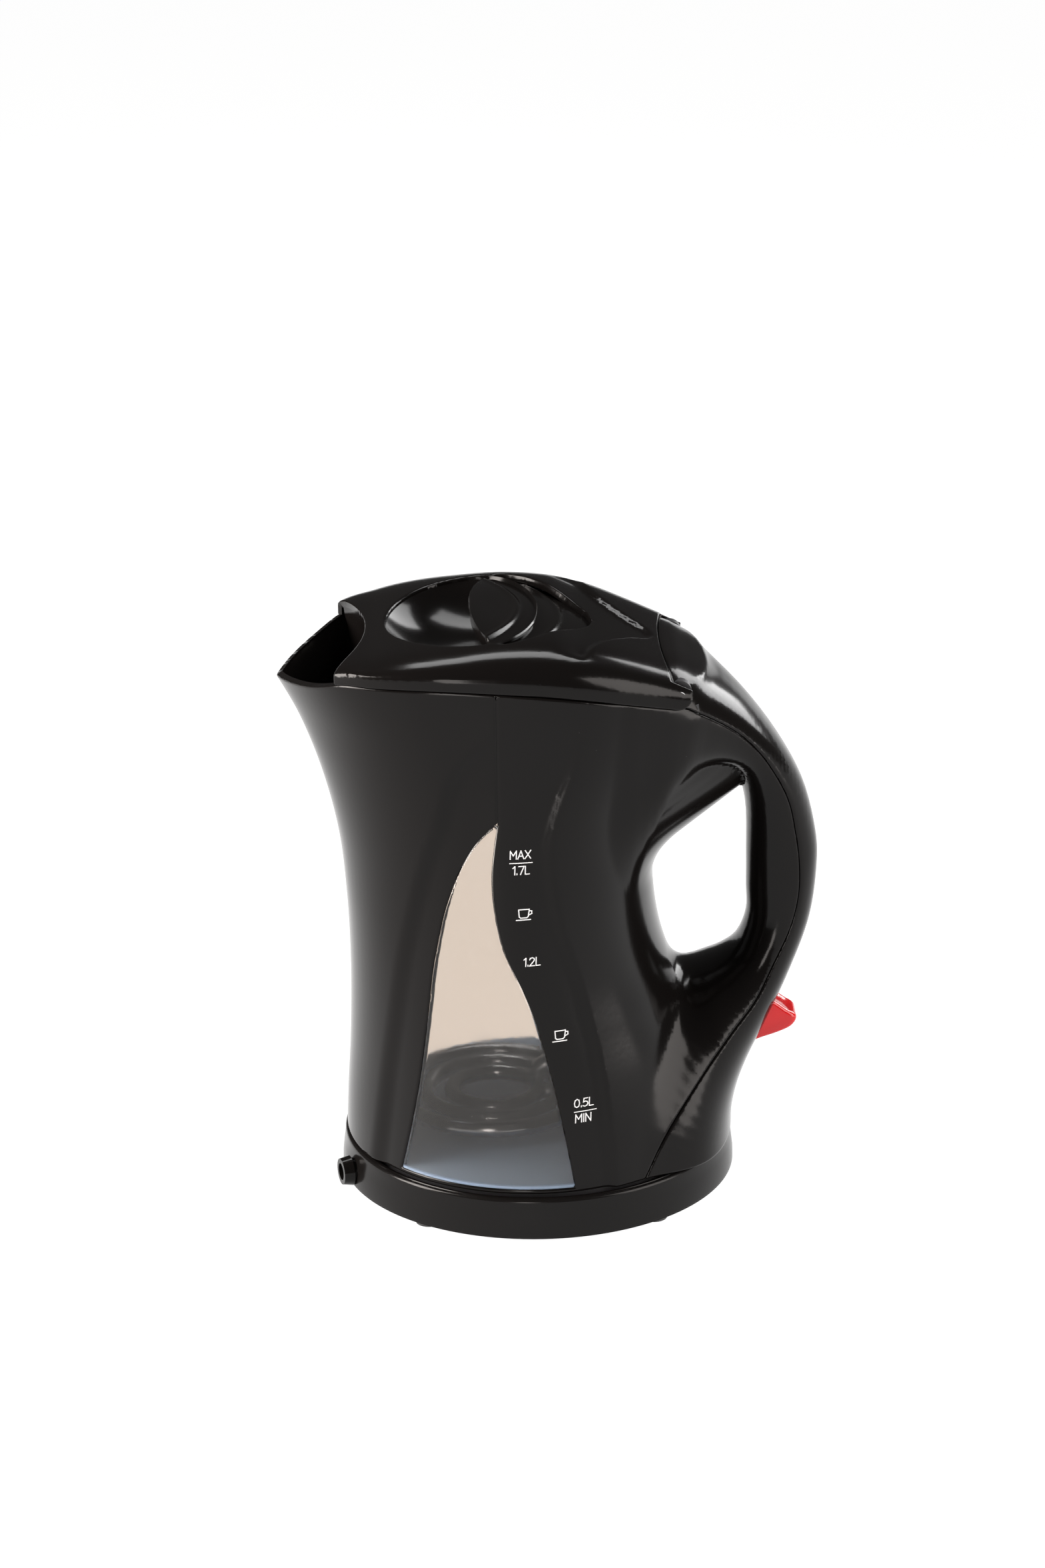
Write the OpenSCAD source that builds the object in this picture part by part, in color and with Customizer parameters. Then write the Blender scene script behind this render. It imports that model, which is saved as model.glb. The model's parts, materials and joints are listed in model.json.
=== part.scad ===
// Cordless jug kettle: power base, lift-off jug with water windows, hinged lid and boil switch.
// Millimetres, +Z up, handle towards +X, spout towards -X. Everything is drawn about the
// axis of the round power base and then shifted so that the whole kettle is centred on the origin.

/* [Power base] */
// Radius of the base at the worktop
base_r = 78; // [77:0.5:79]
// Radius of the lip around the top of the base
base_top_r = 76; // [75.5:0.25:76.5]
// Height of the lip above the worktop
base_h = 18; // [17.5:0.25:18.25]
// Height of the feet
foot_h = 2; // [1.5:0.25:2.5]

/* [Jug] */
// Thickness of the moulded walls
wall = 2.6; // [2.2:0.1:3]
// Height of the vessel floor
floor_z = 21.6; // [21:0.2:23]
// Forward reach of the spout tip
spout_reach = 98.4; // [96:0.2:100]
// Height of the spout tip
spout_z = 207; // [205:0.5:208]

/* [Lid] */
// Distance of the lid pivot from the base axis
lid_pivot_x = 55; // [54:0.5:56]
// Height of the lid pivot
lid_pivot_z = 209.5; // [209:0.5:210]
// Radius of the lid pivot pins
lid_pin_r = 2; // [1.5:0.25:2.5]

/* [Controls] */
// Distance of the switch pivot from the base axis
switch_x = 80; // [79:0.5:81]
// Height of the switch pivot
switch_z = 60; // [59:0.5:61]
// Radius of the switch pivot pin
switch_pin_r = 1.5; // [1.25:0.25:1.75]
// Radius of the sheathed heating tube
element_r = 3.3; // [3:0.1:3.6]

/* [Cord outlet] */
// Radius of the hole that the mains cord passes through
cord_bore_r = 3.4; // [3.2:0.1:3.6]
// Angle of the outlet round the base, from the handle side
cord_angle = 198; // [190:1:210]

/* [Hidden] */
cord_z = 7.6;                   // height of the cord outlet
gland_r = 4.9;

handle_reach = 110.8;
centre_shift = (spout_reach - handle_reach) / 2;
gap = 0.35;                     // free space between parts that move apart
seam = 0.15;                    // hairline between parts that are fixed together
body_black = [0.07, 0.07, 0.075];
inner_black = [0.13, 0.13, 0.14];
jug_bottom_z = base_h + 0.6;

// ---- Vessel outline: values by height above the worktop ----
front_line = [[18, 76], [60, 73.4], [100, 72.9], [130, 74.4], [160, 79.5], [178, 84.8],
    [190, 89.8], [207, 98.4], [219, 104]];
rear_line = [[18, 72], [40, 69], [60, 64], [80, 57.5], [100, 50.5], [130, 47], [160, 49],
    [190, 56], [207, 61], [219, 62]];
half_line = [[18, 75.4], [60, 73], [100, 69.5], [130, 66], [160, 63], [190, 61], [207, 60.2],
    [219, 60]];
point_line = [[100, 2], [160, 2.25], [190, 2.6], [207, 2.94], [219, 3]];
taper_line = [[100, 0.5], [160, 0.6], [190, 0.75], [207, 0.85], [219, 0.87]];
// Rim height by distance forward (-) or back (+) of the base axis
rim_line = [[-spout_reach, spout_z], [-95, 208.5], [-84, 212.8], [-74, 217], [-40, 218.6],
    [-13, 217.2], [17, 213.3], [39, 208.3], [57, 204], [64, 203]];
rim_dome = [[-74, 2.5], [-64, 3], [-55, 5], [-30, 8.5], [-11, 10.5], [10, 11.5], [23, 10.5],
    [40, 9], [52, 7], [64, 4]];
band_h = 4.3;                   // upright band round the lid above its seam
columns = 56;

function widest_x(z) = -13 * min(1, max(0, (z - 18) / 90));
// Half width of the vessel at x, as a share of its widest, raised to a leaf-shaped point at the spout
function side_share(c, z) =
    c < 0 ? pow(max(0, 1 - pow(-c, lookup(z, point_line))), lookup(z, taper_line))
          : sqrt(max(0, 1 - c * c));
function skin_point(a, z, inset) =
    let (c = cos(a), mid = widest_x(z),
         front = lookup(z, front_line) - inset * (z > 190 ? 1.7 : 1.15) + mid,
         rear = lookup(z, rear_line) - inset - mid,
         half = lookup(z, half_line) - inset)
    [mid + c * (c < 0 ? front : rear), sign(sin(a)) * half * side_share(c, z), z];
// Top of a column: the rim height where that column meets the rim
function rim_top(a) = lookup(skin_point(a, 212, 0)[0], rim_line);

function quads(rows, n) = [for (r = [0:rows - 2], i = [0:n - 1]) each
    [[r * n + i, (r + 1) * n + (i + 1) % n, (r + 1) * n + i],
     [r * n + i, r * n + (i + 1) % n, (r + 1) * n + (i + 1) % n]]];

// A solid stack of rings, closed by a flat fan at both ends
module stack(rings) {
    n = len(rings[0]);
    rows = len(rings);
    points = [for (ring = rings) each ring];
    mean = function (ring) [for (k = [0:2]) [for (p = ring) p[k]] * [for (p = ring) 1] / n];
    all_points = concat(points, [mean(rings[0]), mean(rings[rows - 1])]);
    low = [for (i = [0:n - 1]) [rows * n, (i + 1) % n, i]];
    high = [for (i = [0:n - 1]) [rows * n + 1, (rows - 1) * n + i, (rows - 1) * n + (i + 1) % n]];
    polyhedron(all_points, concat(quads(rows, n), low, high), convexity = 8);
}

// Vessel as a solid, drawn in by inset, from height low to the rim plus above
module vessel(inset, low, above) {
    levels = [0, 0.12, 0.26, 0.4, 0.54, 0.66, 0.76, 0.85, 0.93, 1];
    stack([for (s = levels) [for (i = [0:columns - 1])
        let (a = -i * 360 / columns, top = rim_top(a) + above)
        skin_point(a, low + s * (top - low), inset)]]);
}

// ---- Handle: rings from the lid round the grip to the foot ----
// Each entry is [outer x, outer z, inner x, inner z, half width]
grip = [[50, 220.5, 45, 160, 41], [60.5, 215, 60, 163.5, 40.5], [71, 206.5, 72, 163.5, 34.5],
    [84, 193.5, 78.5, 158.5, 27.5], [96, 176, 82, 150, 20.5], [105, 159.5, 83.3, 140, 17],
    [110, 142, 83, 129, 16], [110.8, 127, 83, 117, 16], [107.6, 103, 83.2, 104, 16.8],
    [100, 81.5, 79.5, 94, 20], [91.7, 63.6, 72, 88.5, 26], [83, 46, 62, 84, 34],
    [77.3, 30, 52, 70, 40], [76, 23, 44, 40, 42], [75.4, jug_bottom_z, 42, jug_bottom_z, 42]];
grip_columns = 40;
split_angle = 68;               // the cover takes this much of each ring either side of its back

function ring_point(g, a, inset) =
    let (mid = [(g[0] + g[2]) / 2, (g[1] + g[3]) / 2],
         arm = [(g[0] - g[2]) / 2, (g[1] - g[3]) / 2],
         share = 1 - inset / norm(arm), c = cos(a), s = sin(a))
    [mid[0] + arm[0] * c * share, (g[4] - inset) * sign(s) * pow(abs(s), 0.85),
     mid[1] + arm[1] * c * share];

// The grip body, drawn in where the cover lies on it
module grip_core() {
    stack([for (g = grip) [for (i = [0:grip_columns - 1])
        let (a = 360 * i / grip_columns, under = a < split_angle + 4 || a > 356 - split_angle)
        ring_point(g, a, under ? wall + seam : 0)]]);
}

// Strip over the back of the handle, between two depths below its surface
module cover_band(inset_out, inset_in) {
    steps = 14;
    arc = [for (k = [0:steps]) -split_angle + 2 * split_angle * k / steps];
    stack([for (g = grip) concat([for (a = arc) ring_point(g, a, inset_out)],
        [for (k = [steps:-1:0]) ring_point(g, arc[k], inset_in)])]);
}

// ---- Water window: a fin that leans back, drawn in side view ----
fin = [[-14.5, 166], [-21, 160], [-28, 150], [-34, 137], [-39, 117], [-43, 90], [-46, 60],
    [-50, 38], [-53.5, 22], [-40, 21], [12.5, 21], [9, 42], [4, 64], [-2, 90], [-9, 107],
    [-14, 122], [-16.5, 136], [-16.5, 150]];
module fin_prism(side, trim) {
    translate([0, side * 20, 0]) mirror([0, side > 0 ? 1 : 0, 0]) rotate([90, 0, 0])
        linear_extrude(80) offset(delta = -trim) polygon(fin);
}

// ---- Lid surface ----
function lid_half(x) = lookup(x, [[-98.4, 0], [-92, 14], [-84, 25.4], [-74, 40.4], [-60, 49.8],
    [-40, 57], [-13, 60], [17, 57], [39, 50], [52, 45], [60, 42.6], [64, 41]]);
// Dome over the lid: stations along x, each an arch from side to side
module lid_dome(inset, low) {
    arch = 26;
    stack([for (x = [-80, -74, -64, -55, -42, -30, -18, -6, 6, 18, 30, 40, 50, 61])
        let (half = lid_half(x) - inset, rim = lookup(x, rim_line),
             rise = lookup(x, rim_dome))
        concat([for (k = [arch:-1:0]) let (a = 180 * k / arch, c = cos(a))
            [x, half * sign(c) * pow(abs(c), 0.55),
             rim + gap + band_h - inset + rise * pow(sin(a), 0.9)]],
            [[x, half, rim + gap + low], [x, -half, rim + gap + low]])]);
}

// Space swept by the front of the handle cover about the lid pivot
module pivot_round(r, half) {
    translate([lid_pivot_x, 0, lid_pivot_z]) rotate([90, 0, 0])
        cylinder(r = r, h = 2 * half, center = true, $fn = 64);
}

bowl_back_x = -10;
module thumb_bowl(grow) {
    intersection() {
        translate([-22, 0, 229]) scale([34 + grow, 42 + grow, 13 + grow]) sphere(1, $fn = 40);
        translate([-80, -60, 200]) cube([80 + bowl_back_x + grow, 120, 60]);
    }
}

// ================= Power base =================
module base_shell() {
    color(body_black) difference() {
        union() {
            rotate_extrude($fn = 128) polygon([[base_r, foot_h], [base_r - 0.4, 7],
                [base_top_r + 0.3, 14], [base_top_r, base_h - 1], [base_top_r - 0.9, base_h],
                [base_top_r - 2, base_h - 0.1], [73.4, 16.4], [73, 13], [0, 13], [0, 10.8],
                [72, 10.8], [74, 9], [75.2, foot_h]]);
            for (a = [30, 150, 270]) rotate(a) translate([56, 0, 4.2])
                cylinder(r = 4, h = 7, $fn = 32);
        }
        for (a = [30, 150, 270]) rotate(a) translate([56, 0, 4]) cylinder(r = 1.3, h = 6, $fn = 24);
        translate([57, 0, 12]) cube([22.7, 32.7, 6], center = true);
        rotate(cord_angle) translate([73.4, 0, cord_z]) rotate([0, 90, 0])
            cylinder(r = gland_r + 0.1, h = 10, $fn = 48);
    }
}

module base_plate() {
    color(inner_black) difference() {
        translate([0, 0, foot_h]) cylinder(r = 74.8, h = 2, $fn = 128);
        for (a = [30, 150, 270]) rotate(a) translate([56, 0, 0]) cylinder(r = 1.9, h = 6, $fn = 24);
        rotate(cord_angle) translate([72, -6, 0]) cube([8, 12, 6]);
    }
}

module foot(i) {
    angles = [52, 128, 232, 308];  // clear of the cord outlet
    color([0.2, 0.2, 0.2]) rotate(angles[i - 1]) translate([71, 0, 0])
        cylinder(r1 = 5.2, r2 = 5.8, h = foot_h, $fn = 32);
}

module base_screw(i) {
    color("silver") rotate([30, 150, 270][i - 1]) translate([56, 0, 0]) {
        translate([0, 0, 1.1]) cylinder(r = 3, h = 0.9, $fn = 24);
        translate([0, 0, 2]) cylinder(r = 1.25, h = 7, $fn = 24);
    }
}

slot_y = [-8, 0, 8];           // the three conductors of the connector
module power_turret() {
    color(inner_black) difference() {
        union() {
            translate([58.7, 0, 14.5]) cube([18.6, 32, 21], center = true);
            translate([57, 0, 5.4]) cube([28, 38, 2.4], center = true);
        }
        for (y = slot_y) translate([57, y, 17]) cube([10, 4.4, 18], center = true);
    }
}

module contact(y) {
    color("goldenrod") {
        translate([54.6, y + 1.25, 9]) cube([4.8, 0.7, 13]);
        translate([54.6, y - 1.95, 9]) cube([4.8, 0.7, 13]);
        translate([54.6, y - 1.95, 8.2]) cube([4.8, 3.9, 0.8]);
    }
}

module cord_gland() {
    color(body_black) rotate(cord_angle) translate([0, 0, cord_z]) rotate([0, 90, 0])
        difference() {
            union() {
                translate([0, 0, 73.6]) cylinder(r = gland_r, h = 5, $fn = 48);
                translate([0, 0, 78.4]) cylinder(r1 = 6, r2 = 5.2, h = 4, $fn = 48);
            }
            translate([0, 0, 70]) cylinder(r = cord_bore_r, h = 20, $fn = 48);
        }
}

module cord_clamp() {
    color(inner_black) rotate(cord_angle) translate([52, 0, 0]) difference() {
        translate([0, 0, 7.4]) cube([8, 20, 6.6], center = true);
        translate([-6, 0, cord_z]) rotate([0, 90, 0]) cylinder(r = 2.8, h = 12, $fn = 32);
        for (y = [-7, 7]) translate([0, y, 2]) cylinder(r = 1.2, h = 12, $fn = 24);
    }
}

// ================= Jug =================
bay_x = 48.6;                   // front of the control bay behind the vessel
bay_top_z = 69.4;
flange_z = 40;
fixing_y = [-19.6, 19.6];
cover_screw_y = [-26, 26];
module jug_shell() {
    color(body_black) resize([0, 0, 0]) difference() {
        union() {
            vessel(0, jug_bottom_z, 0);
            difference() {
                grip_core();
                translate([0, -60, 203]) cube([140, 120, 40]);
            }
        }
        difference() {
            vessel(wall, floor_z, 4);
            translate([bay_x - wall, -60, 0]) cube([60, 120, bay_top_z + wall]);
        }
        // bay for the controls, open at the back and below
        translate([bay_x, -30, 10]) cube([60, 60, bay_top_z - 10]);
        // hole for the element head, and its fixing screws
        translate([40, 0, flange_z]) rotate([0, 90, 0]) cylinder(r = 13.6, h = 12, $fn = 48);
        for (y = fixing_y) translate([40, y, 42]) rotate([0, 90, 0]) cylinder(r = 1.7, h = 12, $fn = 24);
        // channel for the steam duct, from the top of the vessel down the inside of the grip
        translate([40, -5, 186]) cube([42, 10, 8]);
        duct_channel(5.4);
        // notches that the lid latches spring into
        for (side = [-1, 1]) translate([-24.6, side * 57 - 1.8, 206.6]) cube([11.2, 3.6, 3.8]);
        for (side = [-1, 1]) fin_prism(side, 0);
        // room for the switch paddle, and for the foot of the handle cover
        translate([74, -9.4, 48]) cube([44, 18.8, 26.4]);
        intersection() {
            cover_band(-2, wall + seam);
            union() {
                translate([0, -80, 0]) cube([120, 160, 200]);
                translate([49.2, -80, 190]) cube([80, 160, 60]);
            }
        }
        // pocket for the hinge carrier
        translate([50.4, -38.4, 198]) cube([12.2, 76.8, 20]);
    }
}

// Route of the steam duct from the vessel over the finger hole and down the grip
duct_path = [[48, 190], [70, 188], [86, 170], [95, 148], [97, 126], [94, 106], [86, 88], [72, 71],
    [68, 62]];
module duct_channel(r) {
    for (i = [0:len(duct_path) - 2]) hull() for (p = [duct_path[i], duct_path[i + 1]])
        translate([p[0], 0, p[1]]) rotate([90, 0, 0]) cylinder(r = r, h = 2 * r, center = true, $fn = 16);
}

module window(side) {
    color([0.62, 0.56, 0.5, 0.5]) resize([0, 0, 0]) intersection() {
        difference() {
            vessel(0.05, jug_bottom_z, 0);
            vessel(wall + 0.1, floor_z - 2, 4);
        }
        fin_prism(side, 0.2);
        translate([-100, side > 0 ? 20 : -120, floor_z - 0.2]) cube([200, 100, 200]);
    }
}

module jug_bottom_cover() {
    color(inner_black) difference() {
        union() {
            translate([0, 0, 13.4]) cylinder(r = 71, h = 2, $fn = 96);
            difference() {
                translate([0, 0, 15.4]) cylinder(r = 71, h = jug_bottom_z - 15.6, $fn = 96);
                translate([0, 0, 15.3]) cylinder(r = 69, h = 6, $fn = 96);
            }
            for (y = cover_screw_y) translate([60, y, 15]) cylinder(r = 3.6, h = 10, $fn = 32);
        }
        translate([57, 0, 15]) cube([22.8, 32.8, 8], center = true);
        for (y = cover_screw_y) translate([60, y, 10]) cylinder(r = 1.4, h = 20, $fn = 24);
        for (y = cover_screw_y) translate([60, y, 13]) cylinder(r = 2.9, h = 1.6, $fn = 24);
    }
}

// Sheathed tube: three turns on one level, joined end to end, with two legs that rise to the head
turn_r = [38, 27.5, 17];
coil_x = -17;
turn_z = floor_z + 9;
end_angle = 15;
element_end_x = 43.8;
function turn_end(r, side) = [coil_x + r * cos(end_angle), side * r * sin(end_angle), turn_z];
function turn(r, from, to) = [for (k = [0:44]) let (a = from + (to - from) * k / 44)
    [coil_x + r * cos(a), r * sin(a), turn_z]];
function bezier(a, b, c, d) = [for (k = [1:7]) let (s = k / 8, w = 1 - s)
    w * w * w * a + 3 * s * w * w * b + 3 * s * s * w * c + s * s * s * d];
function corner(from, at, to, cut) = let (u = (at - from) / norm(at - from), v = (to - at) / norm(to - at))
    [for (k = [0:4]) let (s = k / 4, w = 1 - s)
        w * w * (at - cut * u) + 2 * s * w * at + s * s * (at + cut * v)];
// One end of the sheath: from the flange, along, and down to a turn that it joins heading along heading
function riser(r, side, heading) = let (low = turn_end(r, side), high = [low[0] + 2, low[1], flange_z])
    concat([[element_end_x, low[1], flange_z]],
        corner([element_end_x, low[1], flange_z], high, low, 4.4),
        corner(high, low, low + heading, 4.4));
function backwards(list) = [for (k = [len(list) - 1:-1:0]) list[k]];
// Rings of the sheath across each point of its run
function across(path, i) = let (t = path[min(i + 1, len(path) - 1)] - path[max(i - 1, 0)],
        u = cross(t, [0, 0, 1]) / norm(cross(t, [0, 0, 1])), w = cross(u, t) / norm(t))
    [for (k = [0:11]) path[i] + element_r * (cos(30 * k) * u + sin(30 * k) * w)];
module heating_element() {
    swing = 5 * [sin(end_angle), -cos(end_angle), 0];
    swing_back = 5 * [sin(end_angle), cos(end_angle), 0];
    run = concat(
        riser(turn_r[0], -1, swing_back * -1),
        [for (p = turn(turn_r[0], -end_angle - 8, end_angle - 360)) p],
        bezier(turn_end(turn_r[0], 1), turn_end(turn_r[0], 1) + swing,
            turn_end(turn_r[1], 1) + swing, turn_end(turn_r[1], 1)),
        turn(turn_r[1], end_angle, 360 - end_angle),
        bezier(turn_end(turn_r[1], -1), turn_end(turn_r[1], -1) + swing_back,
            turn_end(turn_r[2], -1) + swing_back, turn_end(turn_r[2], -1)),
        turn(turn_r[2], -end_angle, end_angle + 18 - 360),
        backwards(riser(turn_r[2], 1, -swing)));
    color([0.75, 0.72, 0.68]) stack([for (i = [0:len(run) - 1]) across(run, i)]);
}

module element_flange() {
    color("silver") translate([0, 0, flange_z]) rotate([0, 90, 0]) union() {
        translate([0, 0, 44.2]) cylinder(r = 17, h = 1.4, $fn = 64);
        translate([0, 0, 43.9]) cylinder(r = 14, h = 0.4, $fn = 48);
        translate([0, 0, 45.5]) cylinder(r = 13.4, h = 3.5, $fn = 64);
    }
}

module element_gasket() {
    color([0.75, 0.2, 0.1]) translate([45.7, 0, flange_z]) rotate([0, 90, 0]) difference() {
        cylinder(r = 16.6, h = 0.25, $fn = 64);
        translate([0, 0, -1]) cylinder(r = 13.6, h = 4, $fn = 64);
    }
}

module control_housing() {
    color([0.85, 0.83, 0.78]) difference() {
        union() {
            translate([49.2, -16, 29]) cube([15.8, 32, 27]);
            for (y = [-23, 15.8]) translate([49.2, y, 33]) cube([3, 7.2, 18]);
            // arms that carry the switch and the trip lever
            for (side = [-1, 1]) translate([64, side * 10 - 1.2, 52]) cube([19.5, 2.4, 11.5]);
            for (side = [-1, 1]) translate([64, side * 5.8 - 1.2, 50]) cube([5.4, 2.4, 13]);
        }
        for (y = fixing_y) translate([45, y, 42]) rotate([0, 90, 0]) cylinder(r = 1.7, h = 12, $fn = 24);
        translate([trip_x, 0, switch_z]) rotate([90, 0, 0]) cylinder(r = 1.05, h = 40, center = true, $fn = 32);
        translate([switch_x, 0, switch_z]) rotate([90, 0, 0])
            cylinder(r = switch_pin_r + 0.05, h = 40, center = true, $fn = 32);
        translate([65, 0, 42]) rotate([0, 90, 0]) cylinder(r = 13.2, h = 4, center = true, $fn = 48);
        for (y = slot_y) translate([57, y, 29]) cube([4.2, 1.9, 4], center = true);
    }
}

module blade(y) {
    color("goldenrod") translate([57, y, 21.6]) cube([4, 1.7, 18.8], center = true);
}

module steam_disc() {
    color("silver") translate([63.2, 0, 42]) rotate([0, 90, 0]) cylinder(r = 12.5, h = 0.8, $fn = 64);
}

module steam_duct() {
    color([0.8, 0.8, 0.78]) difference() {
        translate([52, -4.6, 186.4]) cube([27, 9.2, 7.2]);
        translate([50, -3.4, 187.6]) cube([32, 6.8, 4.8]);
    }
}

module indicator_lamp() {
    color("orange") translate([70, 17, 52]) {
        cylinder(r = 2.5, h = 8, $fn = 24);
        translate([0, 0, 8]) sphere(2.5, $fn = 24);
    }
}

module handle_cover() {
    color(body_black) resize([0, 0, 0]) difference() {
        cover_band(0, wall);
        // room for the lid behind its pivot and for the switch paddle
        translate([30, -60, 100]) cube([19.4, 120, 140]);
        translate([70, -8.6, switch_z - 9.6]) cube([40, 17.2, 21.6]);
        // room for the hinge carrier and its two knuckles
        translate([50.4, -38.3, 190]) cube([12.2, 76.6, 14.8]);
        for (side = [-1, 1]) hull() for (x = [50, lid_pivot_x])
            translate([x, side * 36, lid_pivot_z]) rotate([90, 0, 0])
                cylinder(r = 4.8, h = 4.6, center = true, $fn = 24);
        translate([0, -60, 0]) cube([120, 120, jug_bottom_z + 0.05]);
    }
}

module cover_screw(i) {
    color("silver") translate([60, cover_screw_y[i - 1], 13.5]) {
        cylinder(r = 2.7, h = 1, $fn = 24);
        cylinder(r = 1.3, h = 11, $fn = 24);
    }
}

module control_screw(i) {
    color("silver") translate([44.5, fixing_y[i - 1], 42]) rotate([0, 90, 0]) {
        cylinder(r = 1.5, h = 7.8, $fn = 24);
        translate([0, 0, 7.8]) cylinder(r = 2.8, h = 1.6, $fn = 24);
    }
}

module switch_pin() {
    color("silver") translate([switch_x, 0, switch_z]) rotate([90, 0, 0])
        cylinder(r = switch_pin_r, h = 22.4, center = true, $fn = 32);
}

module hinge_carrier() {
    color(inner_black) difference() {
        union() {
            translate([50.8, -38, 198.4]) cube([11.4, 76, 6]);
            for (side = [-1, 1]) translate([lid_pivot_x, side * 36, lid_pivot_z]) rotate([90, 0, 0])
                cylinder(r = 4.6, h = 4, center = true, $fn = 48);
            for (side = [-1, 1]) translate([50.8, side * 36 - 2, 200]) cube([8.8, 4, 9.5]);
        }
        translate([lid_pivot_x, 0, lid_pivot_z]) rotate([90, 0, 0])
            cylinder(r = lid_pin_r + 0.05, h = 90, center = true, $fn = 48);
    }
}

// ================= Switch and trip lever =================
// Drawn in side view about the pivot, then turned upright
module about_pivot(x, z, width) {
    translate([x, 0, z]) rotate([90, 0, 0]) linear_extrude(width, center = true) children();
}
module switch_rocker() {
    color([0.75, 0.03, 0.03]) difference() {
        union() {
            about_pivot(switch_x, switch_z, 14) circle(4.2, $fn = 48);
            about_pivot(switch_x, switch_z, 14)
                polygon([[0, 3.9], [8, 10.6], [13, 10.3], [18, 8], [21.5, 4.5], [22.6, 1.7],
                    [20.4, -2.3], [14, -5], [7, -7.6], [2, -7.8], [0, -3.9]]);
            about_pivot(switch_x, switch_z, 8) polygon([[-3, 2.5], [-9, 3.2], [-9, 0.8], [-3, -2.5]]);
        }
        about_pivot(switch_x, switch_z, 40) circle(switch_pin_r + 0.05, $fn = 48);
    }
}

trip_x = 67.4;
module trip_lever() {
    color([0.9, 0.88, 0.8]) union() {
        about_pivot(trip_x, switch_z, 13.6) circle(1, $fn = 32);
        about_pivot(trip_x, switch_z, 8) circle(1.8, $fn = 32);
        about_pivot(trip_x, switch_z, 8) polygon([[0, 1.4], [2.9, 1.2], [2.9, -0.2], [0, -1.4]]);
        about_pivot(trip_x, switch_z, 8) polygon([[-1.2, 0], [-1.2, -15], [0.4, -15], [1.2, 0]]);
    }
}

// ================= Lid =================
lid_front_r = 88;
module lid_plan_cut() {
    // curved front edge behind the spout, and the rounded clearance for the handle tongue
    translate([-63.9 - lid_front_r, 0, 150]) cylinder(r = lid_front_r, h = 120, $fn = 96);
    pivot_round(14.9, 41.4);
    translate([lid_pivot_x - 5, -41.4, 150]) cube([60, 82.8, 120]);
}

module lid_shell() {
    color(body_black) resize([0, 0, 0]) difference() {
        union() {
            difference() {
                lid_dome(0, 0);
                lid_dome(wall, -3);
            }
            intersection() {
                lid_dome(0, 0);
                thumb_bowl(2);
            }
            // cheeks round the pivot at both ears
            for (side = [-1, 1]) intersection() {
                lid_dome(0, 0);
                translate([lid_pivot_x - 7, side * 42.6 - 1, 200]) cube([14, 2, 20]);
            }
            // pillars that the liner is screwed to
            intersection() {
                lid_dome(0, -20);
                for (y = lid_screw_y) translate([lid_screw_x, y, liner_z + 2.1])
                    cylinder(r = 4, h = 40, $fn = 24);
            }
        }
        lid_plan_cut();
        thumb_bowl(0);
        // straight-sided well that the lever tips up out of
        hull() for (lift = [0, 14]) translate([0, 0, lift]) lever_body(0.9, 218.6);
        for (y = lid_screw_y) translate([lid_screw_x, y, 190]) cylinder(r = 1.65, h = 26, $fn = 24);
        // the lid ends in a round knuckle behind its pivot
        difference() {
            translate([lid_pivot_x, -60, 190]) cube([30, 120, lid_pivot_z - 190 + 30]);
            pivot_round(5, 60);
        }
        translate([lid_pivot_x, 0, lid_pivot_z]) rotate([90, 0, 0])
            cylinder(r = lid_pin_r, h = 120, center = true, $fn = 32);
    }
}

module lid_hinge_pin(i) {
    side = i == 1 ? -1 : 1;
    color("silver") translate([lid_pivot_x, side * 38.8, lid_pivot_z]) rotate([90, 0, 0])
        cylinder(r = lid_pin_r, h = 9.2, center = true, $fn = 48);
}

liner_z = 203.6;
lid_screw_x = 28;
lid_screw_y = [-28, 28];
lever_x = 16;
lever_z = 223;
module liner_plan(grow) {
    hull() {
        translate([-20, 0]) scale([1, 1.28]) circle(36 + grow, $fn = 64);
        translate([20, 0]) scale([0.6, 1]) circle(40 + grow, $fn = 64);
    }
}

module lid_liner() {
    color(inner_black) difference() {
        union() {
            translate([0, 0, liner_z]) linear_extrude(2) liner_plan(0);
            // posts that carry the lever pin
            for (side = [-1, 1]) translate([lever_x - 3, side * 15 - 1.2, liner_z + 1])
                cube([6, 2.4, lever_z - liner_z + 1]);
        }
        for (y = lid_screw_y) translate([lid_screw_x, y, 190]) cylinder(r = 1.9, h = 20, $fn = 24);
        translate([lever_x, 0, lever_z]) rotate([90, 0, 0])
            cylinder(r = lever_pin_r, h = 60, center = true, $fn = 32);
    }
}

module lid_seal() {
    color([0.55, 0.55, 0.55]) translate([0, 0, liner_z - 2.4]) linear_extrude(2.2) difference() {
        liner_plan(0.8);
        liner_plan(-3);
    }
}

module lid_screw(i) {
    color("silver") translate([lid_screw_x, lid_screw_y[i - 1], liner_z - 1.6]) {
        cylinder(r = 2.8, h = 1.6, $fn = 24);
        cylinder(r = 1.6, h = 9, $fn = 24);
    }
}

lever_pin_r = 1.5;
module lever_pin() {
    color("silver") translate([lever_x, 0, lever_z]) rotate([90, 0, 0])
        cylinder(r = lever_pin_r, h = 32.4, center = true, $fn = 32);
}

// Torsion spring coiled round the lever pin
module lever_spring() {
    color("silver") translate([lever_x, 12.6, lever_z]) rotate([90, 0, 0]) difference() {
        cylinder(r = 2.5, h = 1.8, center = true, $fn = 32);
        cylinder(r = 1.7, h = 8, center = true, $fn = 32);
    }
}

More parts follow.
